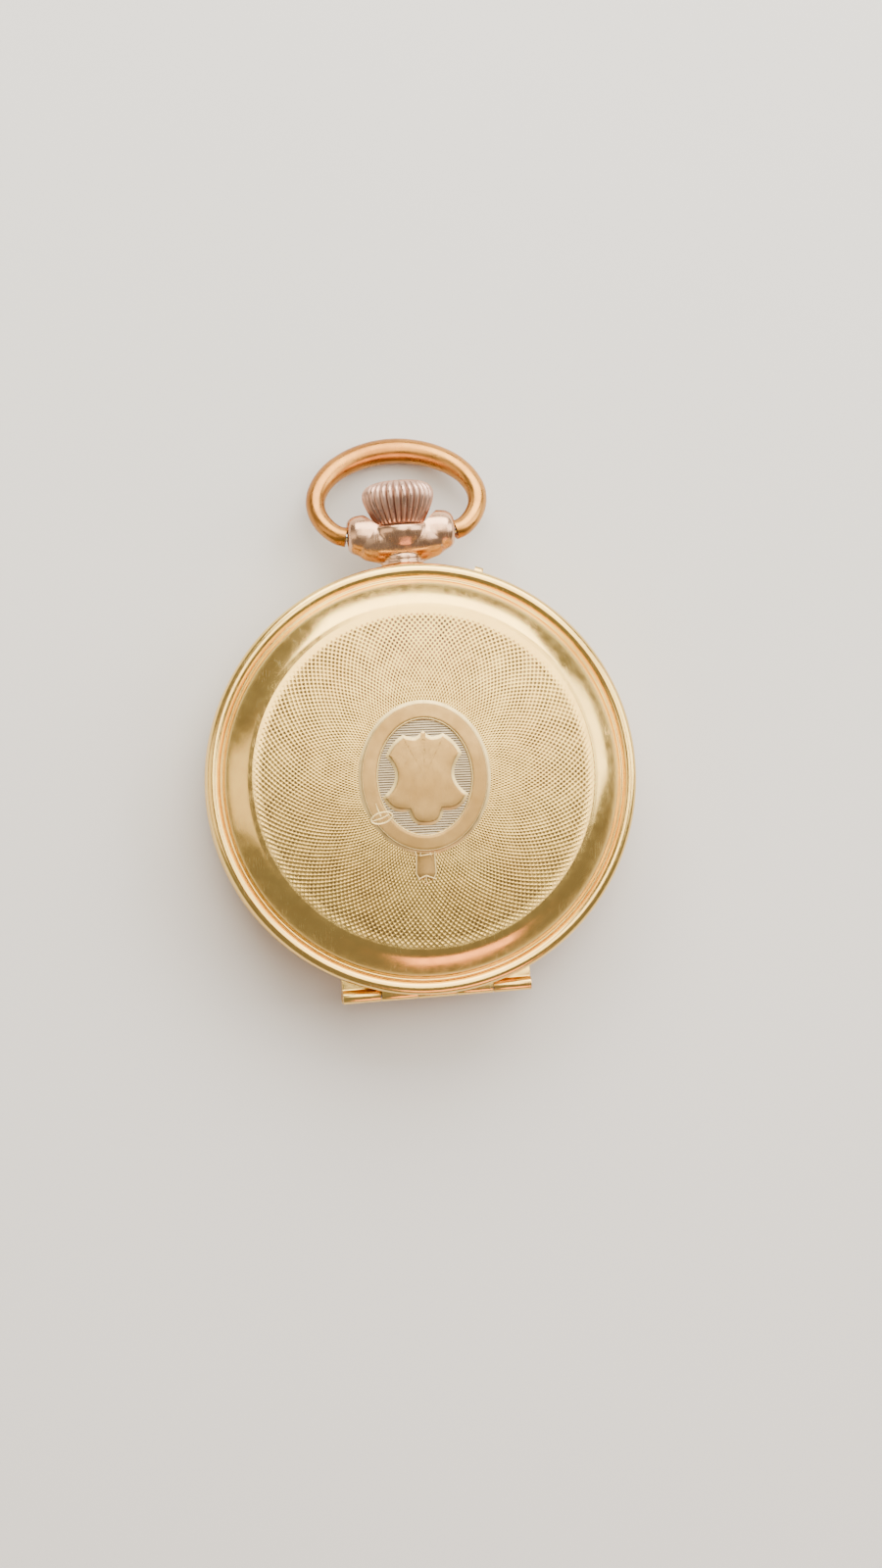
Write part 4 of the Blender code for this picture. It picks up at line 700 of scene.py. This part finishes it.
def inset(outline, distance):
    """The outline moved inwards by a set distance along its averaged normals."""
    p = np.array(outline)
    ahead = np.roll(p, -1, 0) - np.roll(p, 1, 0)
    ahead /= np.linalg.norm(ahead, axis=1)[:, None]
    normal = np.stack([-ahead[:, 1], ahead[:, 0]], 1)
    area = (p[:, 0] * np.roll(p[:, 1], -1) - np.roll(p[:, 0], -1) * p[:, 1]).sum()
    return p + normal * distance * (1 if area > 0 else -1)


def shield():
    """The polished shield with its bevelled edge."""
    outline = shield_outline()
    rows = [(np.array(outline), -0.12), (np.array(outline), 0.0)]
    for share in (0.5, 0.92, 1.0):
        rows.append((inset(outline, 0.45 * share), RAISED * min(1.0, share * 1.06)))
    core = inset(outline, 0.45)
    middle = np.array([0.0, 0.2])
    for share in (0.8, 0.55, 0.3):
        rows.append((middle + (core - middle) * share, RAISED))
    rings = [np.column_stack([flat, np.full(len(flat), z)]) for flat, z in rows]
    rings.append(np.array([[0.0, 0.2, RAISED]]))
    rings.insert(0, np.array([[0.0, 0.2, -0.12]]))
    points, triangles = skin(rings)
    return lay(points), outward(points, triangles)


def hatching():
    """The sunk ground between garter and shield, cut with fine level lines, with painted shade in their grooves."""
    pitch, sides = 0.28, 6
    half_x, half_y = GARTER_IN[0] + 0.35, GARTER_IN[1] + 0.35
    count = int(round(2 * half_y / pitch * sides))
    columns = 24
    rows = []
    hollow_shade = []
    for k in range(count + 1):
        y = -half_y + 2 * half_y * k / count
        # Painted shade: the rows at the bottom of each groove are darkened.
        hollow_shade += [1 - abs(math.sin(math.pi * k / sides))] * columns
        reach = half_x * math.sqrt(max(1 - (y / half_y) ** 2, 0.0004))
        x = np.linspace(-reach, reach, columns)
        wave = abs(math.sin(math.pi * k / sides))
        rows.append(np.column_stack([x, np.full(columns, y), np.full(columns, -0.08 + 0.045 * wave)]))
    grid = np.concatenate(rows)
    i = np.arange(columns - 1)
    faces = []
    for k in range(count):
        s, t = k * columns, (k + 1) * columns
        faces += [np.stack([s + i, s + i + 1, t + i + 1], 1), np.stack([s + i, t + i + 1, t + i], 1)]
    grid[:, 0] += GARTER_AT[0]
    grid[:, 1] += GARTER_AT[1]
    obj = join("hatched_ground", [(lay(grid), np.concatenate(faces))])
    attribute(obj, "hollow_shade", np.array(hollow_shade) * 0.75)
    return obj


def wire(points, radii, lift=0.03):
    """A small raised wire on the cover through points (x, y)."""
    points = np.array(points, float)
    line = []
    for a, b in zip(points, points[1:]):
        n = max(2, math.ceil(math.dist(a, b) / 0.08))
        line += [a + (b - a) * k / n for k in range(n)]
    line.append(points[-1])
    line = np.array(line)
    radii = np.interp(np.linspace(0, 1, len(line)), np.linspace(0, 1, len(radii)), radii)
    flat = np.column_stack([line, np.zeros(len(line))])
    p, t = sweep(flat, radii, 10, 0.6)
    return lay(p, lift), t


def strap_end():
    """The end of the strap that hangs below the garter, with its keeper and pointed tip."""
    left, right = -1.55, 0.95
    y0, y1 = -8.0, -12.1
    outline = [(left - 0.2, y0), (left + 0.25, y0 - 1.2), (left + 0.1, y1 + 1.0), (left + 0.55, y1 + 0.35),
               (-0.3, y1 + 0.55), (right - 0.5, y1 + 0.35), (right - 0.1, y1 + 1.0), (right - 0.2, y0 - 1.2),
               (right + 0.1, y0)]
    flat = slab(divide(outline, 0.3), -0.14, 0.06, 0.05)
    parts = [(lay(flat[0]), flat[1])]
    parts.append(wire([(left - 0.15, y0 + 0.5), (left + 0.2, y0 - 0.9), (left + 0.1, y1 + 1.1),
                       (left + 0.5, y1 + 0.4)], (0.1, 0.11, 0.1)))
    parts.append(wire([(right + 0.15, y0 + 0.6), (right - 0.2, y0 - 0.9), (right - 0.1, y1 + 1.1),
                       (right - 0.4, y1 + 0.4)], (0.1, 0.11, 0.1)))
    parts.append(wire([(-1.15, y0 - 1.6), (-0.75, y0 - 0.35), (-0.3, y0 + 0.15), (0.15, y0 - 0.35),
                       (0.55, y0 - 1.6)], (0.08, 0.1, 0.08)))
    parts.append(wire([(left - 0.35, y0 - 0.75), (-0.9, y0 - 0.95), (right + 0.55, y0 - 0.65)],
                      (0.07, 0.1, 0.07)))
    parts.append(wire([(left + 0.3, y1 + 0.45), (-0.3, y1 + 0.85), (right - 0.2, y1 + 0.45)], (0.1, 0.13, 0.1)))
    parts.append(wire([(-0.3, y1 + 0.9), (-0.3, y1 - 0.3)], (0.14, 0.1, 0.05)))
    parts.append(wire([(-0.75, y1 + 0.1), (-0.3, y1 - 0.12), (0.15, y1 + 0.1)], (0.05, 0.09, 0.05)))
    return parts


def buckle():
    """The buckle at the lower left: an oval frame across the strap, and its prong."""
    middle, turn = np.array([-5.15, -4.45]), math.radians(14)
    c, s = math.cos(turn), math.sin(turn)
    oval = [(middle[0] + 1.25 * math.cos(a) * c - 0.62 * math.sin(a) * s,
             middle[1] + 1.25 * math.cos(a) * s + 0.62 * math.sin(a) * c) for a in np.linspace(0, TAU, 33)]
    prong = [(-5.75, -2.75), (-5.55, -3.5), (-5.25, -4.3)]
    bar = [(-6.2, -4.75), (-5.2, -4.5), (-4.3, -4.1)]
    lift = RAISED - 0.04
    return [wire(oval, (0.13, 0.15, 0.13), lift), wire(prong, (0.08, 0.15), lift), wire(bar, (0.1, 0.13), lift)]


def bright_edges(obj, below, above):
    """Marks the bevels and wires, below and above these two heights, for a painted highlight brighter than the flats
    between them.
    """
    points = np.empty(len(obj.data.vertices) * 3, np.float32)
    obj.data.vertices.foreach_get("co", points)
    points = points.reshape(-1, 3) / MM
    height = points[:, 2] - dome(np.hypot(points[:, 0], points[:, 1]))
    attribute(obj, "edge_highlight", ((height < below) | (height > above)) * 0.85)
    return obj


def garter():
    """The oval band, with a fine wire near each of its edges."""
    outer, inner = ellipse(*GARTER), ellipse(*GARTER_IN)
    parts = [relief(shifted(outer, GARTER_AT), shifted(inner, GARTER_AT), RAISED, 0.2, 0.07)]
    for a, b, r in ((GARTER[0] - 0.46, GARTER[1] - 0.42, 0.035),
                    (GARTER_IN[0] + 0.14, GARTER_IN[1] + 0.14, 0.05)):
        line = shifted(ellipse(a, b), GARTER_AT)
        parts.append(wire(line + line[:1], (r, r), RAISED - 0.005))
    return parts


def cartouche(gold, ground):
    """The decoration of the front cover. No piece is as high as far, which paints the highlight over all of the
    buckle.
    """
    far = 1.0

    def on_cover(obj, material):
        give(obj, "front_cover", material)

    on_cover(bright_edges(sharpen(join("garter", garter()), 50), 0.9 * RAISED, RAISED + 0.01), gold)
    on_cover(bright_edges(sharpen(join("shield", [shield()]), 50), 0.9 * RAISED, far), gold)
    on_cover(hatching(), ground)
    on_cover(bright_edges(sharpen(join("strap_end", strap_end()), 50), -0.05, 0.08), gold)
    on_cover(bright_edges(join("buckle", buckle()), far, far), gold)


# ------------------------------------------------------------------ band, hinge, pendant, bow and crown


def band():
    """The band between the covers, with two fine grooves, its hinge block and its knuckles."""
    r = band_high[0]
    z0, z1 = BAND_Z0, BAND_Z1
    profile = [(21.0, z1), (r - 0.12, z1), (r - 0.03, z1 - 0.04), (r, z1 - 0.12), (r, MID_Z + 0.55),
               (r - 0.12, MID_Z + 0.5), (r - 0.12, MID_Z + 0.4), (r, MID_Z + 0.35), (r, MID_Z - 0.35),
               (r - 0.12, MID_Z - 0.4), (r - 0.12, MID_Z - 0.5), (r, MID_Z - 0.55), (r, z0 + 0.12),
               (r - 0.03, z0 + 0.04), (r - 0.12, z0), (20.05, z0), (20.05, z0 + 0.45), (r - 0.9, z0 + 0.45),
               (r - 0.9, z1 - 0.45), (21.0, z1 - 0.45)]
    ring = turned("case_band_gold", profile, 360)
    block = slab([(-HINGE_HALF, HINGE_Y - 0.25), (HINGE_HALF, HINGE_Y - 0.25), (HINGE_HALF, HINGE_Y + 2.3),
                  (-HINGE_HALF, HINGE_Y + 2.3)], z0 + 0.4, z1 - 0.4, 0.05)
    tools = [("UNION", join("block", [block]))]
    reach = HINGE_HALF + 0.4
    for side in ("front", "back"):
        tools.append(("DIFFERENCE", rod(KNUCKLE_R + 0.14, -reach, reach, 48, (0, HINGE_Y, HINGE_Z[side]), "X")))
    parts = [take(new_object("band", carved(ring, tools)))]
    for x0, x1 in ((-HINGE_HALF, -6.6), (-2.2, 2.2), (6.6, HINGE_HALF)):
        parts += knuckle(x0, x1, HINGE_Z["front"], -0.75)
    for x0, x1 in ((-HINGE_HALF, -7.0), (7.0, HINGE_HALF)):
        parts += knuckle(x0, x1, HINGE_Z["back"], 0.75)
    return sharpen(join("case_band_gold", parts), 38)


def pendant():
    """Neck with ring lines, a cup with two rounded ears and a flat saddle, softened as if worn."""
    at = (0, 0, MID_Z)
    neck = [(0.0, CASE_R - 0.9), (1.2, CASE_R - 0.9), (1.2, CASE_R + 0.02), (NECK_R - 0.08, CASE_R + 0.02),
            (NECK_R, CASE_R + 0.15), (NECK_R, CASE_R + 0.5), (NECK_R - 0.14, CASE_R + 0.58),
            (NECK_R - 0.14, CASE_R + 0.68), (NECK_R, CASE_R + 0.76), (NECK_R, CASE_R + 1.1),
            (NECK_R - 0.16, CASE_R + 1.2), (NECK_R - 0.1, CASE_R + 1.45), (2.6, CASE_R + 1.9),
            (3.05, CASE_R + 2.5), (3.45, CASE_R + 3.2), (3.64, CASE_R + 3.9), (3.62, SADDLE_Y - 0.1),
            (3.52, SADDLE_Y), (0.0, SADDLE_Y)]
    parts = [take(turned("neck", neck[::-1], 96, at, "Y"))]
    barrel = [(0.0, -5.2), (1.6, -5.2), (2.2, -4.4), (2.65, -2.8), (3.0, 0), (2.65, 2.8), (2.2, 4.4), (1.6, 5.2),
              (0.0, 5.2)]
    parts.append(take(turned("barrel", barrel[::-1], 72, (0, EAR_Y - 0.75, MID_Z), "X")))
    for side in (-1, 1):
        ear = [(0.0, 0.4), (1.9, 0.5), (2.2, 2.0), (2.36, 3.4), (EAR_R, 4.6), (2.3, 5.35), (2.02, 5.92),
               (1.6, 6.24), (1.3, EAR_OUT), (0.0, EAR_OUT)]
        if side < 0:
            ear = [(r, -x) for r, x in ear][::-1]
        parts.append(take(turned("ear", ear[::-1], 72, (0, EAR_Y, MID_Z), "X")))
        webs = [(side * 1.2, CASE_R + 1.25), (side * 3.1, CASE_R + 1.55), (side * 5.2, EAR_Y - 1.5),
                (side * 5.4, EAR_Y), (side * 2.6, EAR_Y + 0.6), (side * 1.6, EAR_Y)]
        parts.append(slab(webs if side > 0 else webs[::-1], MID_Z - 1.9, MID_Z + 1.9, 0.8))
    bore = rod(3.0, EAR_Y + 0.05, SADDLE_Y + 4, 96, at, "Y")
    crown_room = turned("room", [(0, SADDLE_Y + 6), (4.6, SADDLE_Y + 6), (4.45, SADDLE_Y + 1.9),
                                 (3.5, SADDLE_Y + 0.3), (3.1, SADDLE_Y), (0, SADDLE_Y)], 96, at, "Y")
    pins = [rod(0.56, low, high, 32, (0, EAR_Y, MID_Z), "X") for low, high in ((3.55, 7.5), (-7.5, -3.55))]
    hole = rod(0.66, CASE_R - 1.5, EAR_Y, 32, at, "Y")
    groove_in, groove_out = NECK_R - 0.14, NECK_R + 0.3
    rings = [turned("ring", [(groove_in, y), (groove_out, y), (groove_out, y + 0.1), (groove_in, y + 0.1)], 96, at,
                    "Y") for y in (CASE_R + 0.5, CASE_R + 1.0)]
    return fused("pendant_rose", parts, 0.08, 45, [bore, crown_room, *pins, hole, *rings])


def bow_line(count=120):
    """The wire's centre line and radii as (x, y, radius) from the pins, half a loop mirrored."""
    half = np.array([(6.38, -0.12, 1.15), (7.1, 0.12, 1.12), (8.0, 0.85, 1.1), (8.85, 2.0, 1.1), (9.45, 3.6, 1.1),
                     (9.5, 5.2, 1.15), (8.85, 7.1, 1.22), (7.4, 9.0, 1.32), (5.3, 10.46, 1.41), (2.8, 11.41, 1.47),
                     (0.0, 11.76, 1.5)])
    whole = np.concatenate([half, (half * (-1, 1, 1))[-2::-1]])
    t = np.concatenate([[0], np.cumsum(np.linalg.norm(np.diff(whole[:, :2], axis=0), axis=1))])
    spots = np.linspace(0, t[-1], count)
    return np.array([catmull(t, whole[:, axis], spots) for axis in range(3)]).T


def catmull(t, values, spots):
    """A smooth curve through values at t, read at the spots."""
    slope = np.gradient(values, t)
    k = np.clip(np.searchsorted(t, spots, side="right") - 1, 0, len(t) - 2)
    h = t[k + 1] - t[k]
    s = (spots - t[k]) / h
    return ((2 * s ** 3 - 3 * s ** 2 + 1) * values[k] + (s ** 3 - 2 * s ** 2 + s) * h * slope[k]
            + (-2 * s ** 3 + 3 * s ** 2) * values[k + 1] + (s ** 3 - s ** 2) * h * slope[k + 1])


def bow():
    """The bow, which droops from its pins to the floor."""
    line = bow_line()
    drop = math.asin((MID_Z - 1.53) / 11.8)
    path = np.column_stack([line[:, 0], EAR_Y + line[:, 1] * math.cos(drop), MID_Z - line[:, 1] * math.sin(drop)])
    return sharpen(join("bow_rose", [sweep(path, line[:, 2], 40)]), 60)


def crown():
    """The crown: an onion shape with worn flutes, painted shade in their hollows and a plain button top."""
    flutes, sides = 30, 12
    columns = flutes * sides
    shape = smooth_profile([(0.7, 0.02), (2.5, 0.0), (2.78, 0.08), (3.1, 0.7), (3.65, 1.7), (4.08, 2.7),
                            (4.23, 3.4), (4.15, 4.05), (3.6, 4.75), (2.6, 5.1), (1.3, 5.22), (0.4, 5.25)], 0.12, 2)
    a = np.arange(columns)
    wave = np.abs(np.sin(np.pi * a / sides)) ** 0.8
    rings, hollow_shade = [np.array([[0, 0, 0.02]])], [np.zeros(1)]
    for r, y in shape:
        strength = np.clip((y + 0.1) / 0.4, 0, 1) * np.clip((5.14 - y) / 0.4, 0, 1)
        cut = 0.34 * strength * (1 - wave)
        ring = circle(1.0, y, columns)
        ring[:, :2] *= (r - cut)[:, None]
        rings.append(ring)
        # Painted shade: the hollows of the flutes are darkened.
        hollow_shade.append(np.clip((1 - wave) * 1.25 - 0.25, 0, 1) * strength)
    rings.append(np.array([[0, 0, 5.25]]))
    hollow_shade.append(np.zeros(1))
    points, triangles = skin(rings)
    points = points[:, [1, 2, 0]] + np.array((0, CROWN_Y, MID_Z))
    obj = mesh_object("crown_rose", points, outward(points, triangles))
    attribute(obj, "hollow_shade", np.concatenate(hollow_shade) * 0.95)
    return obj


# ------------------------------------------------------------------ glass, dial and bezel


def clock(angle, r):
    """The point at an angle clockwise from twelve, which is at -X."""
    return (-r * math.cos(angle), r * math.sin(angle))


def bars(name, spots, z):
    """Printed bars from (angle, inner radius, outer radius, width, middle of the circle)."""
    parts = []
    for angle, r0, r1, width, at in spots:
        a = np.array(clock(angle, 1.0))
        side = np.array((-a[1], a[0])) * width / 2
        at = np.array(at)
        corners = [at + a * r0 - side, at + a * r1 - side, at + a * r1 + side, at + a * r0 + side]
        parts.append(slab([tuple(c) for c in corners], z, z + PRINT))
    return join(name, parts)


def numerals(material):
    """Generic Arabic hour numbers, all upright. The seconds dial takes the place of the six."""
    for hour in range(1, 13):
        if hour == 6:
            continue
        angle = math.radians(30 * hour)
        curve = bpy.data.curves.new(f"numeral_{hour}", "FONT")
        curve.body = str(hour)
        curve.size = 4.0 * MM
        curve.extrude = 0.012 * MM
        curve.align_x, curve.align_y = "CENTER", "CENTER"
        obj = new_object(f"numeral_{hour}", curve)
        x, y = clock(angle, NUMERAL_R)
        obj.location = (x * MM, y * MM, (DIAL_TOP + 0.012) * MM)
        obj.rotation_euler = (0, 0, math.pi / 2)
        mesh = evaluated_mesh(obj)
        mesh.transform(obj.matrix_world)
        bpy.data.objects.remove(obj)
        give(new_object(f"numeral_{hour}", mesh), "case", material)


def dial(enamel, ink):
    """The enamel dial with its sunk seconds dial, its printed marks and its numerals."""
    obj = turned("dial_enamel", [(DIAL_R, DIAL_TOP - 0.1), (DIAL_R - 0.1, DIAL_TOP), (1.1, DIAL_TOP),
                                 (1.1, DIAL_TOP - 0.45), (DIAL_R - 0.05, DIAL_TOP - 0.45)][::-1], 180)
    low = DIAL_TOP - SECONDS_SINK
    seconds_at = (*SECONDS_AT, 0)
    tools = [rod(SECONDS_R, low, DIAL_TOP + 1, 96, seconds_at), rod(0.45, DIAL_TOP - 2, DIAL_TOP + 1, 32, seconds_at)]
    made = sharpen(new_object("dial_enamel", carved(obj, [("DIFFERENCE", tool) for tool in tools])), 30)
    made.data.shade_smooth()
    sharpen(made, 30)
    give(made, "case", enamel, ("dial",))
    for r in TRACK_R:
        ring = turned("track", [(r - 0.04, DIAL_TOP + PRINT), (r + 0.04, DIAL_TOP + PRINT), (r + 0.04, DIAL_TOP),
                                (r - 0.04, DIAL_TOP)], 180)
        ring.name = f"minute_track_{'inner' if r == TRACK_R[0] else 'outer'}"
        give(ring, "case", ink)
    spots = [(TAU * k / 60, *TRACK_R, 0.1 if k % 5 else 0.28, (0, 0)) for k in range(60)]
    give(bars("minute_marks", spots, DIAL_TOP), "case", ink)
    spots = [(TAU * k / 12, 2.9, 3.6, 0.09 if k % 3 else 0.16, SECONDS_AT) for k in range(12)]
    spots += [(TAU * k / 60, 3.3, 3.6, 0.05, SECONDS_AT) for k in range(60) if k % 5]
    give(bars("seconds_marks", spots, low), "case", ink)
    ring = turned("seconds_track", [(3.58, low + PRINT), (3.66, low + PRINT), (3.66, low), (3.58, low)], 120,
                  seconds_at)
    give(ring, "case", ink)
    numerals(ink)


def bezel():
    z = bezel_low[2]
    profile = [(20.3, z + 1.6), (20.75, z + 1.6), (21.0, z + 1.52), (21.25, z + 1.36), (21.45, z + 1.16),
               (21.6, z + 0.95), (21.63, z + 0.86), (21.72, z + 0.82), (21.78, z + 0.7), (21.8, z + 0.5),
               (21.8, z), (20.1, z), (20.1, z + 0.95), (20.75, z + 0.95), (20.75, z + 1.35), (20.3, z + 1.35)]
    return sharpen(turned("bezel_gold", profile, 256), 40)


def crystal():
    z = bezel_low[2]
    top = [(r, z + 1.3 + 1.3 * (1 - (r / 20.2) ** 2) ** 0.9) for r in np.linspace(0, 20.2, 24)]
    under = [(r, z + 1.0 + 1.0 * (1 - (r / 19.7) ** 2)) for r in np.linspace(19.7, 0, 24)]
    return turned("crystal_glass", top + [(20.62, z + 1.3), (20.62, z + 1.0)] + under, 128)


# ------------------------------------------------------------------ what is made


def build():
    # cover_gold, ground_gold and crown_gold paint shade into hollows; garter_gold paints a highlight on edges.
    cover_gold = metal("cover_gold", GOLD, GOLD_DARK, 0.2, 0.1, 1.0, 0.35, "hollow_shade")
    plain_gold = metal("plain_gold", GOLD, GOLD_DARK, 0.2, 0.12, 1.0, 0.5)
    # Painted highlight: the marked bevels and wires of the decoration take a bright gold, over a darker gold for the
    # flats.
    decoration = metal("garter_gold", (0.47, 0.29, 0.10), (0.30, 0.17, 0.05), 0.33, 0.1, 2.4, 0.9, "edge_highlight",
                       (1.0, 0.80, 0.36))
    ground = metal("ground_gold", (0.46, 0.37, 0.24), (0.34, 0.26, 0.15), 0.34, 0.1, 1.0, 0.6, "hollow_shade")
    rose = metal("rose_gold", ROSE, ROSE_DARK, 0.25, 0.14, 1.2, 0.7)
    bow_gold = metal("bow_gold", (0.64, 0.30, 0.07), (0.33, 0.12, 0.025), 0.3, 0.14, 1.2, 0.8)
    crown_gold = metal("crown_gold", (0.76, 0.49, 0.37), (0.40, 0.20, 0.13), 0.3, 0.16, 1.0, 0.7, "hollow_shade",
                       (0.09, 0.03, 0.015))

    give(front_cover(), "front_cover", cover_gold, ("front_cover",))
    cartouche(decoration, ground)
    give(back_cover(), "back_cover", cover_gold, ("back_cover",))
    give(band(), "case", plain_gold, ("case_band",))
    give(pendant(), "case", rose, ("pendant",))
    give(bow(), "bow", bow_gold, ("bow",))
    give(crown(), "crown", crown_gold, ("crown",))
    give(bezel(), "case", plain_gold, ("bezel",))

    glass = Nodes("crystal_glass")
    glass.set(Base_Color=(1, 1, 1, 1), Metallic=0.0, IOR=1.45, Transmission_Weight=1.0)
    glass.link(glass.ramp(glass.noise(500.0), 0.3, 0.7, 0.01, 0.04), "Roughness")
    give(crystal(), "case", glass.material, ("crystal",))

    enamel = Nodes("enamel")
    enamel.set(Coat_Weight=0.6)
    enamel.link(enamel.mix(enamel.ramp(enamel.noise(90.0), 0.35, 0.7), (0.86, 0.85, 0.80), (0.80, 0.77, 0.70)),
                "Base Color")
    enamel.link(enamel.ramp(enamel.noise(700.0), 0.3, 0.7, 0.1, 0.2), "Roughness")
    ink = Nodes("dial_ink")
    ink.link(ink.mix(ink.ramp(ink.noise(3000.0), 0.4, 0.7), (0.012, 0.011, 0.012), (0.03, 0.028, 0.03)),
             "Base Color")
    ink.link(ink.ramp(ink.noise(2000.0), 0.3, 0.7, 0.25, 0.4), "Roughness")
    dial(enamel.material, ink.material)

    finish_nodes()


# materials of the CAD nodes that stay as they are
FINISH = {
    "gilt": (GILT, (0.55, 0.38, 0.16), 0.28, 0.1),
    "nickel": (NICKEL, (0.60, 0.58, 0.54), 0.26, 0.1),
    "steel": (STEEL, (0.42, 0.42, 0.44), 0.2, 0.1),
    "blued": ((0.035, 0.07, 0.30), (0.05, 0.03, 0.16), 0.2, 0.08),
    "gold": (GOLD, GOLD_DARK, 0.2, 0.1),
}
NODE_FINISH = {
    "gilt": ["barrel_lid", "mainspring_barrel", "center_wheel", "third_wheel", "fourth_wheel", "minute_wheel",
             "hour_wheel", "balance_wheel"],
    "nickel": ["main_plate", "barrel_bridge", "train_bridge", "balance_cock", "pallet_cock"],
    "steel": ["front_hinge_pin", "back_hinge_pin", "bow_pin_left", "bow_pin_right", "winding_pinion",
              "winding_stem", "clutch_wheel", "crown_wheel", "ratchet_wheel", "barrel_arbor", "click",
              "cannon_pinion", "escape_wheel", "pallet_fork", "setting_wheel", "setting_lever", "yoke",
              "regulator", "fly_spring_screw", "lock_spring_screw", "mainspring"],
    "blued": ["fly_spring", "lock_spring", "case_screw_a", "case_screw_b", "barrel_bridge_screw",
              "train_bridge_screw", "balance_cock_screw", "crown_wheel_screw", "click_screw", "ratchet_screw",
              "click_spring", "hairspring", "minute_hand", "hour_hand", "seconds_hand"],
    "gold": ["cuvette"],
}


def finish_nodes():
    for finish, names in NODE_FINISH.items():
        colour, dark, rough, spread = FINISH[finish]
        material = metal(finish, colour, dark, rough, spread, 0.7, 0.4)
        for name in names:
            paint(nodes[name], material)
    ruby = Nodes("ruby")
    ruby.set(Transmission_Weight=0.4, IOR=1.76, Coat_Weight=0.5)
    ruby.link(ruby.mix(ruby.ramp(ruby.noise(1500.0), 0.3, 0.7), (0.55, 0.02, 0.07), (0.35, 0.01, 0.04)), "Base Color")
    ruby.link(ruby.ramp(ruby.noise(2500.0), 0.3, 0.7, 0.05, 0.12), "Roughness")
    paint(nodes["cap_jewel"], ruby.material)


# ------------------------------------------------------------------ floor, light and camera


def floor():
    size = 2.0
    n = Nodes("floor_pale")
    n.link(n.mix(n.ramp(n.noise(8.0), 0.3, 0.7), (0.72, 0.715, 0.70), (0.75, 0.745, 0.735)), "Base Color")
    n.link(n.ramp(n.noise(400.0), 0.3, 0.7, 0.55, 0.65), "Roughness")
    mesh = bpy.data.meshes.new("floor")
    mesh.from_pydata([(-size, -size, 0), (size, -size, 0), (size, size, 0), (-size, size, 0)], [], [(0, 1, 2, 3)])
    obj = new_object("floor", mesh)
    mesh.materials.append(n.material)


def area_light(name, at, size, power, colour=(1, 1, 1), target=(0, 0, 0.007)):
    light = bpy.data.lights.new(name, "AREA")
    light.shape = "RECTANGLE"
    light.size, light.size_y = size
    light.energy = power
    light.color = colour
    obj = new_object(name, light)
    obj.location = at
    obj.rotation_euler = (Vector(target) - Vector(at)).to_track_quat("-Z", "Y").to_euler()


def studio():
    world = bpy.data.worlds.new("studio")
    world.use_nodes = True
    background = world.node_tree.nodes["Background"]
    background.inputs["Color"].default_value = (0.60, 0.56, 0.50, 1)
    background.inputs["Strength"].default_value = 0.5
    bpy.context.scene.world = world
    area_light("overhead", (0.11, 0.25, 0.95), (0.62, 0.60), 6.6, (1.0, 0.93, 0.78))
    area_light("key_top", (0.08, 0.46, 0.34), (0.75, 0.42), 9.0, (1.0, 0.96, 0.88))
    area_light("right", (0.50, 0.10, 0.36), (0.32, 0.5), 2.6, (1.0, 0.97, 0.92))
    area_light("left_fill", (-0.52, 0.02, 0.34), (0.3, 0.55), 0.9, (1.0, 0.84, 0.62))
    area_light("low_warm", (0.10, -0.45, 0.22), (0.3, 0.16), 0.7, (1.0, 0.42, 0.22))


TURN = math.radians(4.5)       # the watch lies turned in the picture
FRAME_W = 102.3                # width of the picture at the watch, in millimetres
AWAY = 420.0                   # distance of the camera
LEAN_LEFT = math.radians(5.0)  # the camera stands a little to the left of straight above
LEAN_UP = math.radians(-1.5)
LOOK_RIGHT, LOOK_UP, LOOK_Z = 2.25, -0.6, 10.0  # the middle of the picture, in its own directions
SENSOR = 36.0


def camera():
    data = bpy.data.cameras.new("camera")
    obj = new_object("camera", data)
    up = Vector((math.sin(TURN), math.cos(TURN), 0))
    right = Vector((math.cos(TURN), -math.sin(TURN), 0))
    target = right * LOOK_RIGHT + up * LOOK_UP + Vector((0, 0, LOOK_Z))
    back = (Vector((0, 0, 1)) - right * math.tan(LEAN_LEFT) + up * math.tan(LEAN_UP)).normalized()
    obj.location = (target + back * AWAY) * MM
    x = up.cross(back).normalized()
    y = back.cross(x)
    obj.rotation_euler = Matrix((x, y, back)).transposed().to_euler()
    data.sensor_fit = "HORIZONTAL"
    data.sensor_width = SENSOR
    data.lens = SENSOR * AWAY / FRAME_W
    data.clip_start, data.clip_end = 0.01, 10.0
    bpy.context.scene.camera = obj


build()
floor()
studio()
camera()
